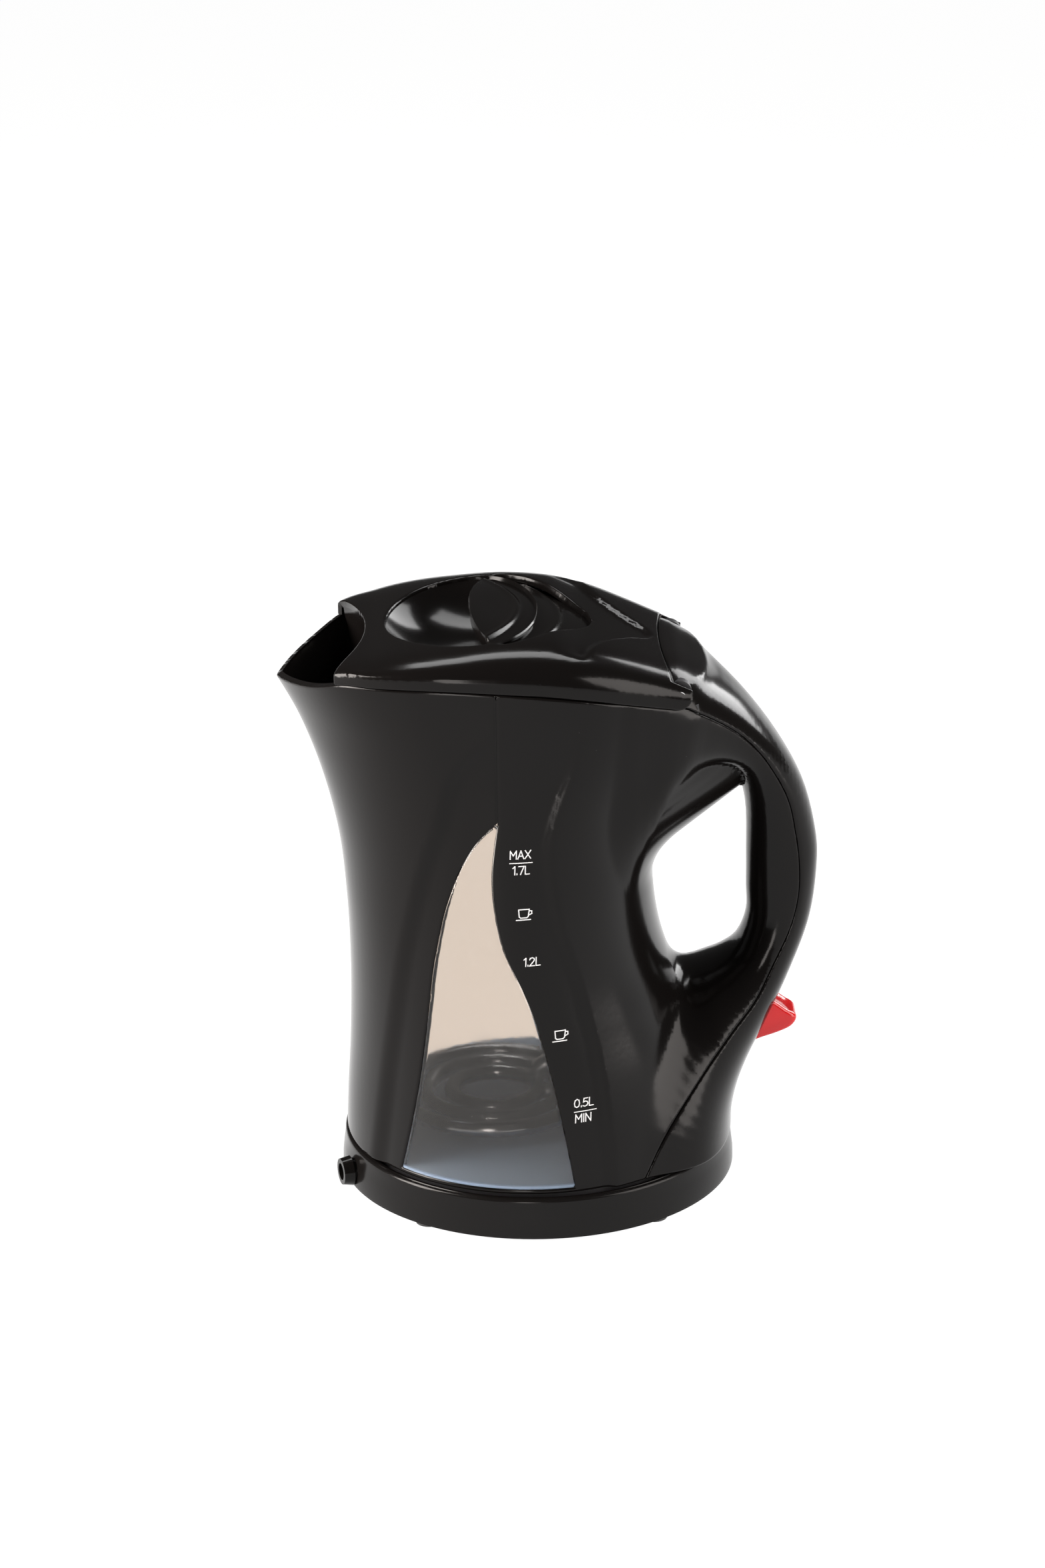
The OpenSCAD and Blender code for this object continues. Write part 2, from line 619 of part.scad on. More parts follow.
// Thumb lever: a broad rounded front that narrows to its tail, flat below
module lever_body(grow, bottom) {
    intersection() {
        hull() {
            translate([-13, 0, 221]) scale([12.5 + grow, 22 + grow, 13 + grow]) sphere(1, $fn = 40);
            translate([14, 0, 221]) scale([10 + grow, 10.5 + grow, 5.5 + grow]) sphere(1, $fn = 32);
        }
        translate([-40, -40, bottom]) cube([80, 80, 30]);
    }
}
module lid_lever() {
    color(body_black) resize([0, 0, 0]) difference() {
        lever_body(0, 221);
        translate([lever_x, 0, lever_z]) rotate([90, 0, 0])
            cylinder(r = lever_pin_r + 0.08, h = 60, center = true, $fn = 32);
    }
}

// Spring-out bolts that hold the lid shut at both sides
module latch(side) {
    color(inner_black) translate([-24, side * 43.4 - 15, 207]) cube([10, 30, 3]);
}

module placed() { translate([centre_shift, 0, 0]) children(); }

placed() base_shell();
placed() base_plate();
placed() foot(1);  // foot_1
placed() foot(2);  // foot_2
placed() foot(3);  // foot_3
placed() foot(4);  // foot_4
placed() power_turret();
placed() contact(slot_y[0]);  // contact_live
placed() contact(slot_y[1]);  // contact_earth
placed() contact(slot_y[2]);  // contact_neutral
placed() cord_gland();
placed() cord_clamp();
placed() base_screw(1);  // base_screw_1
placed() base_screw(2);  // base_screw_2
placed() base_screw(3);  // base_screw_3
placed() jug_shell();
placed() window(-1);  // window_near
placed() window(1);  // window_far
placed() jug_bottom_cover();
placed() heating_element();
placed() element_flange();
placed() element_gasket();
placed() control_housing();
placed() blade(slot_y[0]);  // blade_live
placed() blade(slot_y[1]);  // blade_earth
placed() blade(slot_y[2]);  // blade_neutral
placed() steam_disc();
placed() steam_duct();
placed() indicator_lamp();
placed() handle_cover();
placed() cover_screw(1);  // cover_screw_1
placed() cover_screw(2);  // cover_screw_2
placed() control_screw(1);  // control_screw_1
placed() control_screw(2);  // control_screw_2
placed() switch_pin();
placed() hinge_carrier();
placed() switch_rocker();
placed() trip_lever();
placed() lid_shell();
placed() lid_liner();
placed() lid_seal();
placed() lid_hinge_pin(1);  // lid_hinge_pin_1
placed() lid_hinge_pin(2);  // lid_hinge_pin_2
placed() lid_screw(1);  // lid_screw_1
placed() lid_screw(2);  // lid_screw_2
placed() lever_pin();
placed() lever_spring();
placed() lid_lever();
placed() latch(-1);  // latch_near
placed() latch(1);  // latch_far
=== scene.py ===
"""Electric kettle: the looks. Shapes are worked out in millimetres about the axis of the round
power base, then moved into the shared frame in metres."""

import json
import math

import bmesh
import bpy
import numpy as np
from mathutils import Matrix, Vector


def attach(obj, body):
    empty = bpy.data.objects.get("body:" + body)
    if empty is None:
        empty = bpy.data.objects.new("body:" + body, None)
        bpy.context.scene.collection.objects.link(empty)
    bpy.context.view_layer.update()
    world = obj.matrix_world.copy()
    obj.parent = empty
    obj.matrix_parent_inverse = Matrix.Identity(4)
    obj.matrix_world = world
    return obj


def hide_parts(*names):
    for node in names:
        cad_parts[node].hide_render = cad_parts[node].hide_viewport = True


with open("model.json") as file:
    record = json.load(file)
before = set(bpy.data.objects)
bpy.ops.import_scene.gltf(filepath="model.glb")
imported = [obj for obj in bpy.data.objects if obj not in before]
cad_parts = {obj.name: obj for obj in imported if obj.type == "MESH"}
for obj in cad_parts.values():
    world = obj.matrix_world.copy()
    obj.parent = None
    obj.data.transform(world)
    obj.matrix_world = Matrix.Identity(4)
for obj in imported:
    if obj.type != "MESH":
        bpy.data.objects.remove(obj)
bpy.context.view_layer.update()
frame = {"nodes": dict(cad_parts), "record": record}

MM = 0.001
SHIFT = np.array([-6.2, 0.0, 0.0])      # base axis in the shared frame, mm
GRID = 1.5            # spacing of the sampling grid, mm


# ---------------------------------------------------------------- curves
class Curve:
    """Smooth curve through a few key points, flat beyond its ends."""

    def __init__(self, *points):
        self.x = np.array([p[0] for p in points], float)
        self.y = np.array([p[1] for p in points], float)
        self.slope = np.gradient(self.y, self.x)

    def __call__(self, q):
        q = np.clip(q, self.x[0], self.x[-1])
        i = np.clip(np.searchsorted(self.x, q) - 1, 0, len(self.x) - 2)
        h = self.x[i + 1] - self.x[i]
        t = (q - self.x[i]) / h
        a, b = self.y[i], self.y[i + 1]
        ma, mb = self.slope[i] * h, self.slope[i + 1] * h
        return (a * (2 * t**3 - 3 * t**2 + 1) + ma * (t**3 - 2 * t**2 + t)
                + b * (3 * t**2 - 2 * t**3) + mb * (t**3 - t**2))


def step(t):
    """Smooth ramp from 0 to 1."""
    t = np.clip(t, 0, 1)
    return t * t * (3 - 2 * t)


def smooth_min(a, b, k):
    """The lesser of a and b, with the corner between them rounded over k."""
    h = np.clip(0.5 + 0.5 * (b - a) / k, 0, 1)
    return b * (1 - h) + a * h - k * h * (1 - h)


# ---------------------------------------------------------------- outlines of the kettle
front = Curve((10, 76.2), (30, 75.4), (60, 73.5), (93, 72.8), (118, 73.6), (144, 76.1), (165, 80.8),
              (181, 86), (194, 91.4), (202, 95.6), (207, 98.4), (219, 105.5), (236, 114))
rear = Curve((10, 72), (40, 68), (60, 63), (80, 56), (100, 49.5), (130, 46), (160, 48), (185, 56),
             (207, 62), (236, 66))
half = Curve((10, 75.6), (40, 74.4), (70, 72), (100, 69.3), (130, 66), (160, 63), (190, 61), (217, 60),
             (236, 60))
point = Curve((90, 2), (130, 2.08), (160, 2.25), (190, 2.6), (207, 2.94), (236, 3))
taper = Curve((90, 0.5), (130, 0.53), (160, 0.6), (190, 0.74), (207, 0.84), (236, 0.87))
rim = Curve((-100, 206.5), (-98.4, 207), (-95, 208.5), (-84, 212.8), (-74, 217), (-60, 218.2),
            (-40, 218.7), (-13, 217.2), (17, 213.4), (39, 208.3), (50, 205.6), (57, 204), (64, 203))
BAND = 4.3                              # upright band round the lid above its seam
dome = Curve((-80, 2.2), (-74, 2.5), (-64, 3.4), (-55, 5), (-30, 8.6), (-11, 11.6), (10, 12.8),
             (23, 12.2), (40, 10.2), (52, 8.3), (64, 6.2))
PIVOT = (55.0, 209.5)                   # lid pivot, x and z


LEAN_OVER = 0.4                         # share of the front over which the leaf point takes over
SQUARE_REAR, SQUARE_FROM, SQUARE_OVER = 0.8, 140, 65
VESSEL_SCALE = 66                       # turns the outline's level into rough millimetres


def widest(z):
    """Place along x where the vessel is widest."""
    return -13 * step((z + 5) / 115)


def vessel(x, y, z):
    """Below zero inside the jug: an ellipse that draws out to a leaf point at the spout."""
    mid = widest(z)
    c = (x - mid) / np.where(x < mid, front(z) + mid, rear(z) - mid)
    v = np.abs(y) / half(z)
    lean = step(-c / LEAN_OVER)
    square = 2 + SQUARE_REAR * step((z - SQUARE_FROM) / SQUARE_OVER)
    p = np.where(c < 0, 2 + (point(z) - 2) * lean, square)
    t = np.where(c < 0, 0.5 + (taper(z) - 0.5) * lean, 0.5)
    level = np.abs(c) ** p + v ** (1 / t)
    return (level**0.5 - 1) * VESSEL_SCALE


# handle: stations along its length, from the lid round the grip to the foot
STATIONS = np.array([
    # outer x, outer z, inner x, inner z, half width, squareness
    [20, 221.5, 22, 120, 46, 4.5],
    [48, 219.2, 41, 133, 45.5, 4.5],
    [60.5, 213.6, 52, 154.5, 42, 4.0],
    [71, 205.6, 61, 166, 35, 3.2],
    [84, 193, 70, 169.5, 27, 2.6],
    [96, 177, 78, 166, 20.5, 2.3],
    [104.9, 160, 82.5, 151.5, 17, 2.2],
    [109.6, 142, 83, 129, 16, 2.2],
    [110.8, 127, 83, 117, 16, 2.2],
    [108, 104, 83, 105, 16.6, 2.2],
    [100, 81.5, 79, 94, 20, 2.2],
    [91.7, 63.6, 72, 88, 26, 2.2],
    [83, 46, 60, 82, 34, 2.2],
    [77.6, 31, 48, 68, 42, 2.2],
    [75.8, 20, 40, 42, 48, 2.2],
    [76, 8, 36, 10, 50, 2.2],
])


def handle_stations(count):
    """The stations, drawn out into a fine smooth run."""
    s = np.arange(len(STATIONS))
    q = np.linspace(0, len(STATIONS) - 1, count)
    return np.stack([Curve(*zip(s, STATIONS[:, k]))(q) for k in range(STATIONS.shape[1])], 1)


RUN = handle_stations(64)
LEAST_SPREAD = 0.05                     # keeps the share finite where neighbouring bars are parallel
INNER_SQUARENESS = 0.15                 # how much of the squareness the finger side keeps
BEYOND_WEIGHT = 0.8                     # keeps each bar to its own stretch of the handle


def handle(x, y, z):
    """Below zero inside the handle: the least of the bars between neighbouring stations."""
    mid = (RUN[:, 0:2] + RUN[:, 2:4]) / 2
    arm = (RUN[:, 0:2] - RUN[:, 2:4]) / 2
    reach = np.linalg.norm(arm, axis=1)
    arm = arm / reach[:, None]
    along = np.stack([arm[:, 1], -arm[:, 0]], 1)
    best = np.full(np.shape(x), np.inf)
    for i in range(len(RUN) - 1):
        # share of the way from this station to the next, held between the two
        a0 = (x - mid[i, 0]) * along[i, 0] + (z - mid[i, 1]) * along[i, 1]
        a1 = (x - mid[i + 1, 0]) * along[i + 1, 0] + (z - mid[i + 1, 1]) * along[i + 1, 1]
        spread = np.maximum(a0 - a1, LEAST_SPREAD)
        t = np.clip(a0 / spread, 0, 1)
        m0, m1 = (mid[i, k] + (mid[i + 1, k] - mid[i, k]) * t for k in (0, 1))
        u0, u1 = (arm[i, k] + (arm[i + 1, k] - arm[i, k]) * t for k in (0, 1))
        r = reach[i] + (reach[i + 1] - reach[i]) * t
        wide = RUN[i, 4] + (RUN[i + 1, 4] - RUN[i, 4]) * t
        n = RUN[i, 5] + (RUN[i + 1, 5] - RUN[i, 5]) * t
        d = (x - m0) * u0 + (z - m1) * u1
        n = np.where(d > 0, n, 2 + (n - 2) * INNER_SQUARENESS)
        beyond = np.abs((x - m0) * u1 - (z - m1) * u0)
        q = (np.abs(d / r) ** n + np.abs(y / wide) ** n) ** (1 / n)
        best = np.minimum(best, (q - 1) * np.minimum(r, wide) + BEYOND_WEIGHT * beyond)
    return best


PANEL_DEPTH = 1.9
PANEL_TOP = 208


def panel_depth(x, y, z):
    """The fin-shaped panel sunk a little into each side of the jug."""
    left = Curve((20, -67), (75, -60), (119, -53), (162, -41), (195, -25), (206, -8))(z)
    right = Curve((20, 30), (71, 24.5), (99, 18), (132, 8.5), (157, 6.5), (185, 15), (206, 21))(z)
    inside = step((x - left) / 8) * step((right - x) / 6) * step((PANEL_TOP - z) / 30)
    return PANEL_DEPTH * inside * step((np.abs(y) - 25) / 15)


COLUMN_CAP = 1.6                        # how far the vessel goes on above its rim
HANDLE_FROM = 20                        # the handle starts behind this x
HANDLE_BLEND = 13                       # rounding where the handle meets the vessel


def body(x, y, z):
    """Below zero inside the jug and its handle together."""
    f = np.maximum(vessel(x, y, z) + panel_depth(x, y, z), z - rim(x) - COLUMN_CAP)
    near = x > HANDLE_FROM
    out = f.copy()
    if near.any():
        h = handle(x[near], y[near], z[near])
        out[near] = smooth_min(f[near], h, HANDLE_BLEND * step((x[near] - HANDLE_FROM) / 20) + 0.01)
    return out


LID_HALF = 60
LID_Z = 217                             # height at which the lid's plan is taken
TOP_ROUND, SIDE_ROUND = 1.6, 7
LID_SCALE = 26
FOLD_DEPTH, FOLD_WIDTH = 2.6, 4.2


def lid(x, y, z):
    """Below zero inside the closed lid, with no recess."""
    base = rim(x) + BAND
    mid = widest(z)
    c = np.clip((mid - x) / (front(LID_Z) + mid), 0, 1)
    share = np.clip(1 - c**3, 0, 1) ** 0.85
    wide = np.maximum(np.where(x < mid, LID_HALF * share, lid_flank(x)), 5)
    level = (np.clip(z - base, 0, None) / dome(x)) ** TOP_ROUND + (np.abs(y) / wide) ** SIDE_ROUND
    fold = FOLD(np.abs(y)) - x
    valley = FOLD_DEPTH * step(fold / FOLD_WIDTH) * step((x - 6) / 16) * step((50 - np.abs(y)) / 8)
    return (level ** (1 / 3) - 1) * LID_SCALE + valley


# line of the shallow V fold, as x over the distance from the middle
FOLD = Curve((-6, 46.6), (0, 47.6), (6, 45), (13, 38.2), (21, 32), (29, 27), (38.5, 23), (54, 20))


def lid_flank(x):
    """Half width of the lid behind its widest place."""
    return Curve((-30, 60), (-13, 60), (2, 59), (17, 57.2), (29, 53.8), (39, 50.2), (50, 46.3), (57, 44.2),
                 (64, 42))(x)


# ---------------------------------------------------------------- surfaces from functions
def surface(f, low, high, pitch):
    """Mesh of the surface where f is zero: one point in each cell it crosses, four-sided faces."""
    axes = [np.arange(a, b + pitch, pitch) for a, b in zip(low, high)]
    shape = [len(a) for a in axes]
    values = np.empty(shape, np.float32)
    gy, gz = np.meshgrid(axes[1], axes[2], indexing="ij")
    for i, x in enumerate(axes[0]):
        values[i] = f(np.full(gy.shape, x), gy, gz)
    inside = values < 0
    cells = [n - 1 for n in shape]
    total = np.zeros(cells + [3])
    count = np.zeros(cells, np.int32)
    for axis in range(3):
        a = [slice(None)] * 3
        b = [slice(None)] * 3
        a[axis], b[axis] = slice(0, -1), slice(1, None)
        va, vb = values[tuple(a)], values[tuple(b)]
        crossed = inside[tuple(a)] != inside[tuple(b)]
        t = np.where(crossed, va / np.where(crossed, va - vb, 1), 0)
        others = [k for k in range(3) if k != axis]
        for s0 in (0, 1):
            for s1 in (0, 1):
                pick = [slice(None)] * 3
                pick[others[0]] = slice(s0, s0 + cells[others[0]])
                pick[others[1]] = slice(s1, s1 + cells[others[1]])
                hit = crossed[tuple(pick)]
                count += hit
                total[..., axis] += np.where(hit, t[tuple(pick)], 0)
                total[..., others[0]] += hit * s0
                total[..., others[1]] += hit * s1
    live = count > 0
    index = np.full(cells, -1)
    index[live] = np.arange(live.sum())
    place = np.argwhere(live) + total[live] / count[live][:, None]
    points = np.array(low) + place * pitch
    faces = []
    for axis in range(3):
        b, c = (axis + 1) % 3, (axis + 2) % 3
        a0 = [slice(None)] * 3
        a1 = [slice(None)] * 3
        a0[axis], a1[axis] = slice(0, -1), slice(1, None)
        cross = np.argwhere(inside[tuple(a0)] != inside[tuple(a1)])
        off_low = (cross[:, b] > 0) & (cross[:, c] > 0)
        off_high = (cross[:, b] < cells[b]) & (cross[:, c] < cells[c])
        cross = cross[off_low & off_high]
        ring = []
        for db, dc in ((-1, -1), (0, -1), (0, 0), (-1, 0)):
            q = cross.copy()
            q[:, b] += db
            q[:, c] += dc
            ring.append(index[q[:, 0], q[:, 1], q[:, 2]])
        quad = np.stack(ring, 1)
        flip = ~inside[cross[:, 0], cross[:, 1], cross[:, 2]]
        quad[flip] = quad[flip][:, ::-1]
        faces.append(quad)
    return points, np.concatenate(faces)


def gradient(f, p, e=0.15):
    d = np.stack([f(*(p + e * np.eye(3)[k]).T) - f(*(p - e * np.eye(3)[k]).T) for k in range(3)], 1)
    return d / (2 * e)


def settle(f, p, rounds=3):
    """Moves points onto the surface where f is zero."""
    for _ in range(rounds):
        g = gradient(f, p)
        p = p - (f(*p.T) / np.maximum((g * g).sum(1), 1e-6))[:, None] * g
    return p


def triangles(quads):
    return np.concatenate([quads[:, [0, 1, 2]], quads[:, [0, 2, 3]]])


def compact(points, tris):
    used = np.unique(tris)
    new = np.full(len(points), -1)
    new[used] = np.arange(len(used))
    return points[used], new[tris]


def split(points, tris, g):
    """Cuts the triangles along the line where g is zero. Returns the finer mesh and each face's side."""
    level = g(points)
    above = level >= 0
    edges = np.sort(np.concatenate([tris[:, [0, 1]], tris[:, [1, 2]], tris[:, [2, 0]]]), 1)
    edges = np.unique(edges[above[edges[:, 0]] != above[edges[:, 1]]], axis=0)
    la, lb = level[edges[:, 0]], level[edges[:, 1]]
    t = la / (la - lb)
    # the line may bend between the two ends, so search along the edge
    lo, hi = np.zeros(len(t)), np.ones(len(t))
    a, b = points[edges[:, 0]], points[edges[:, 1]]
    for _ in range(12):
        side = g(a + (b - a) * t[:, None]) >= 0
        same = side == above[edges[:, 0]]
        lo, hi = np.where(same, t, lo), np.where(same, hi, t)
        t = (lo + hi) / 2
    extra = a + (b - a) * t[:, None]
    code = {tuple(e): len(points) + i for i, e in enumerate(edges)}
    out, side = [], []
    n_above = above[tris].sum(1)
    mixed = (n_above > 0) & (n_above < 3)
    for face, n in zip(tris[mixed], n_above[mixed]):
        odd = n == 1
        k = int(np.argmax(above[face] == odd))
        p, q, r = face[k], face[(k + 1) % 3], face[(k + 2) % 3]
        pq, pr = code[(min(p, q), max(p, q))], code[(min(p, r), max(p, r))]
        out += [(p, pq, pr), (pq, q, r), (pq, r, pr)]
        side += [odd, not odd, not odd]
    whole = (n_above == 0) | (n_above == 3)
    faces = np.concatenate([tris[whole], np.array(out, int).reshape(-1, 3)])
    sides = np.concatenate([n_above[whole] == 3, np.array(side, bool)])
    return np.concatenate([points, extra]), faces, sides


def keep(points, tris, g):
    """The part of the mesh where g is above zero."""
    points, faces, side = split(points, tris, g)
    return compact(points, faces[side])


def with_lip(f, points, tris, g, gap=0.14, width=0.9, depth=0.4):
    """Trims along g and rounds the edge that is left down into the seam."""
    points, tris = keep(points, tris, lambda p: g(p) - gap)
    for share in (0.25, 0.55, 1.0):
        points, tris, _ = split(points, tris, lambda p: g(p) - gap - width * share)
    away = np.clip((g(points) - gap) / width, 0, 1)
    n = gradient(f, points)
    n /= np.linalg.norm(n, axis=1)[:, None]
    return points - n * (depth * (1 - np.sqrt(1 - (1 - away) ** 2)))[:, None], tris


def border(faces):
    """Directed edges that belong to one face only."""
    corners = faces.shape[1]
    edges = np.concatenate([faces[:, [k, (k + 1) % corners]] for k in range(corners)])
    key = np.sort(edges, 1)
    _, inverse, counts = np.unique(key, axis=0, return_inverse=True, return_counts=True)
    return edges[counts[inverse.ravel()] == 1]


def shell(f, points, tris, wall):
    """Gives an open skin its thickness, inwards, with its cut edges closed."""
    n = gradient(f, points)
    n /= np.linalg.norm(n, axis=1)[:, None]
    inner = points - n * wall
    count = len(points)
    edge = border(tris)
    sides = np.concatenate([np.stack([edge[:, 1], edge[:, 0], edge[:, 0] + count], 1),
                            np.stack([edge[:, 1], edge[:, 0] + count, edge[:, 1] + count], 1)])
    return np.concatenate([points, inner]), np.concatenate([tris, tris[:, ::-1] + count, sides])


# ---------------------------------------------------------------- objects
def make(name, points, faces, material, body_name, slot, sharp=35):
    """A named piece from points in millimetres about the base axis."""
    mesh = bpy.data.meshes.new(name)
    where = (np.asarray(points, float) + SHIFT) * MM
    mesh.from_pydata(where.tolist(), [], [list(map(int, f)) for f in faces])
    bm = bmesh.new()
    bm.from_mesh(mesh)
    bmesh.ops.remove_doubles(bm, verts=bm.verts, dist=2e-6)
    bmesh.ops.dissolve_degenerate(bm, edges=bm.edges, dist=2e-6)
    bmesh.ops.recalc_face_normals(bm, faces=bm.faces)
    bm.to_mesh(mesh)
    bm.free()
    mesh.shade_smooth()
    mesh.set_sharp_from_angle(angle=math.radians(sharp))
    obj = bpy.data.objects.new(name, mesh)
    bpy.context.scene.collection.objects.link(obj)
    mesh.materials.append(material)
    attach(obj, body_name)
    return obj


def rings(stack, closed=True, caps=True):
    """Points and faces of a tube drawn through rings of equal length."""
    n = len(stack[0])
    points = np.concatenate([np.asarray(r, float) for r in stack])
    faces = []
    for r in range(len(stack) - 1):
        for i in range(n if closed else n - 1):
            j = (i + 1) % n
            faces.append((r * n + i, r * n + j, (r + 1) * n + j, (r + 1) * n + i))
    if caps:
        faces.append(tuple(range(n))[::-1])
        faces.append(tuple(range((len(stack) - 1) * n, len(stack) * n)))
    return points, faces


def looped(stack):
    """Rings joined end to end into a closed shell, the last one back to the first."""
    points, faces = rings(stack, caps=False)
    n, last = len(stack[0]), (len(stack) - 1) * len(stack[0])
    faces += [(last + i, last + (i + 1) % n, (i + 1) % n, i) for i in range(n)]
    return points, faces


def turned(profile, count=192):
    """A closed profile of (radius, height) pairs turned about the base axis."""
    profile = np.asarray(profile, float)
    a = np.linspace(0, 2 * math.pi, count, endpoint=False)
    stack = [np.stack([r * np.cos(a), r * np.sin(a), np.full(count, z)], 1) for r, z in profile]
    return looped(stack)


# ---------------------------------------------------------------- materials
def material(name, color, roughness, **sockets):
    """A principled material. Returns it with its node tree, shader and texture coordinates."""
    m = bpy.data.materials.new(name)
    m.use_nodes = True
    tree = m.node_tree
    shader = tree.nodes["Principled BSDF"]
    shader.inputs["Base Color"].default_value = (*color, 1)
    shader.inputs["Roughness"].default_value = roughness
    for key, value in sockets.items():
        shader.inputs[key.replace("_", " ")].default_value = value
    coords = tree.nodes.new("ShaderNodeTexCoord")
    return m, tree, shader, coords


def noise(tree, coords, scale, detail=3.0):
    n = tree.nodes.new("ShaderNodeTexNoise")
    n.inputs["Scale"].default_value = scale
    n.inputs["Detail"].default_value = detail
    tree.links.new(coords.outputs["Object"], n.inputs["Vector"])
    return n


def ramp(tree, source, stops):
    """Colour ramp from (position, colour) stops."""
    r = tree.nodes.new("ShaderNodeValToRGB")
    while len(r.color_ramp.elements) < len(stops):
        r.color_ramp.elements.new(0.5)
    for element, (at, value) in zip(r.color_ramp.elements, stops):
        element.position = at
        element.color = (*value, 1) if len(value) == 3 else value
    tree.links.new(source, r.inputs["Fac"])
    return r


def bump(tree, shader, source, strength, distance):
    b = tree.nodes.new("ShaderNodeBump")
    b.inputs["Strength"].default_value = strength
    b.inputs["Distance"].default_value = distance
    tree.links.new(source, b.inputs["Height"])
    tree.links.new(b.outputs["Normal"], shader.inputs["Normal"])


def moulded(name, color, roughness, grain=0.02, dust=True, **sockets):
    """Moulded plastic: uneven gloss, a faint orange-peel surface and a few specks of dust."""
    m, tree, shader, coords = material(name, color, roughness, **sockets)
    cloud = noise(tree, coords, 18, 4)
    gloss = ramp(tree, cloud.outputs["Fac"],
                 [(0.3, (roughness * 0.85,) * 3), (0.75, (roughness * 1.2,) * 3)])
    tree.links.new(gloss.outputs["Color"], shader.inputs["Roughness"])
    peel = noise(tree, coords, 420, 2)
    bump(tree, shader, peel.outputs["Fac"], grain, 0.0004)
    if dust:
        specks = tree.nodes.new("ShaderNodeTexVoronoi")
        specks.inputs["Scale"].default_value = 160
        tree.links.new(coords.outputs["Object"], specks.inputs["Vector"])
        light = tuple(c + 0.06 for c in color)
        spots = ramp(tree, specks.outputs["Distance"], [(0.0, light), (0.028, color)])
        thin = noise(tree, coords, 34, 2)
        mask = ramp(tree, thin.outputs["Fac"], [(0.6, (0, 0, 0)), (0.68, (1, 1, 1))])
        mix = tree.nodes.new("ShaderNodeMix")
        mix.data_type = "RGBA"
        tree.links.new(mask.outputs["Color"], mix.inputs[0])
        mix.inputs[6].default_value = (*color, 1)
        tree.links.new(spots.outputs["Color"], mix.inputs[7])
        tree.links.new(mix.outputs[2], shader.inputs["Base Color"])
    return m


DULL = 0.17                             # specular level of the black plastics
BLACK = moulded("black gloss plastic", (0.0042, 0.0036, 0.0034), 0.15, grain=0.03, Specular_IOR_Level=DULL)
BASE_BLACK = moulded("black base plastic", (0.005, 0.0045, 0.0043), 0.19, grain=0.04,
                     Specular_IOR_Level=DULL)
INNER = moulded("satin black plastic", (0.03, 0.03, 0.032), 0.42, grain=0.12, dust=False)
PALE = moulded("pale plastic", (0.72, 0.69, 0.61), 0.45, grain=0.1, dust=False)
RUBBER = moulded("rubber", (0.03, 0.03, 0.03), 0.7, grain=0.25, dust=False)
RED = moulded("red gloss plastic", (0.62, 0.008, 0.01), 0.12, grain=0.02, dust=False,
              Subsurface_Weight=0.25, Subsurface_Scale=0.004, Transmission_Weight=0.25, IOR=1.49)
MARK = moulded("white print", (0.82, 0.82, 0.82), 0.5, grain=0.05, dust=False)


def window_material():
    """Tinted clear plastic with a few scuffs."""
    m, tree, shader, coords = material("window plastic", (0.78, 0.715, 0.655), 0.08, IOR=1.42,
                                       Transmission_Weight=1.0, Specular_IOR_Level=0.25)
    scuffs = noise(tree, coords, 60, 6)
    gloss = ramp(tree, scuffs.outputs["Fac"], [(0.35, (0.03,) * 3), (0.8, (0.14,) * 3)])
    tree.links.new(gloss.outputs["Color"], shader.inputs["Roughness"])
    bump(tree, shader, noise(tree, coords, 300, 2).outputs["Fac"], 0.03, 0.0004)
    return m


def metal(name, color, roughness, scale=240):
    m, tree, shader, coords = material(name, color, roughness, Metallic=1.0)
    grain = noise(tree, coords, scale, 4)
    tint = ramp(tree, grain.outputs["Fac"], [(0.3, tuple(c * 0.82 for c in color)), (0.75, color)])
    tree.links.new(tint.outputs["Color"], shader.inputs["Base Color"])
    bump(tree, shader, grain.outputs["Fac"], 0.06, 0.0003)
    return m


WINDOW = window_material()
STEEL = metal("plated steel", (0.66, 0.66, 0.66), 0.28)
BRASS = metal("brass", (0.8, 0.6, 0.3), 0.25)
ELEMENT = metal("element sheath", (0.2, 0.23, 0.27), 0.18)
# the jug floor is black plastic; this bright blue-grey is a painted reflection of the light scattered
# through the tinted windows
FLOOR_PAINTED_BLUE_REFLECTION = moulded("black floor plastic with painted blue reflection", (0.34, 0.5, 0.74), 0.35, grain=0.06, dust=False)
LAMP = moulded("amber lamp", (0.8, 0.33, 0.05), 0.2, grain=0.02, dust=False)

SLOT_MATERIALS = {"black_gloss": BLACK, "inner_plastic": INNER, "window": WINDOW, "rubber": RUBBER,
                  "brass": BRASS, "steel": STEEL, "element": ELEMENT, "red_switch": RED,
                  "pale_plastic": PALE, "lamp": LAMP}
for entry in frame["record"]["subparts"]:
    cad_node = frame["nodes"][entry["node"]]
    cad_node.data.materials.clear()
    cad_node.data.materials.append(SLOT_MATERIALS[entry["material_slot"]])


# ---------------------------------------------------------------- jug, handle cover and windows
TONGUE_HALF = 40.6                      # half width of the handle's front end
TONGUE_FRONT = 49.2
KNUCKLE_RADIUS = 5


def g_rim(p):
    """Above zero below the jug's rim, and everywhere on the handle behind the lid."""
    x, y, z = p.T
    return np.maximum(rim(x) - z, g_tongue(p))


def g_tongue(p):
    """Above zero where the handle's front end covers the body behind the lid."""
    x, y, z = p.T
    front_arc = TONGUE_FRONT + 2.9 * (y / TONGUE_HALF) ** 2
    corner = np.hypot(np.maximum(x - PIVOT[0], 0), np.minimum(z - PIVOT[1], 0)) - KNUCKLE_RADIUS
    return np.maximum(np.minimum(x - front_arc, TONGUE_HALF - np.abs(y)), np.minimum(x - 50, corner))


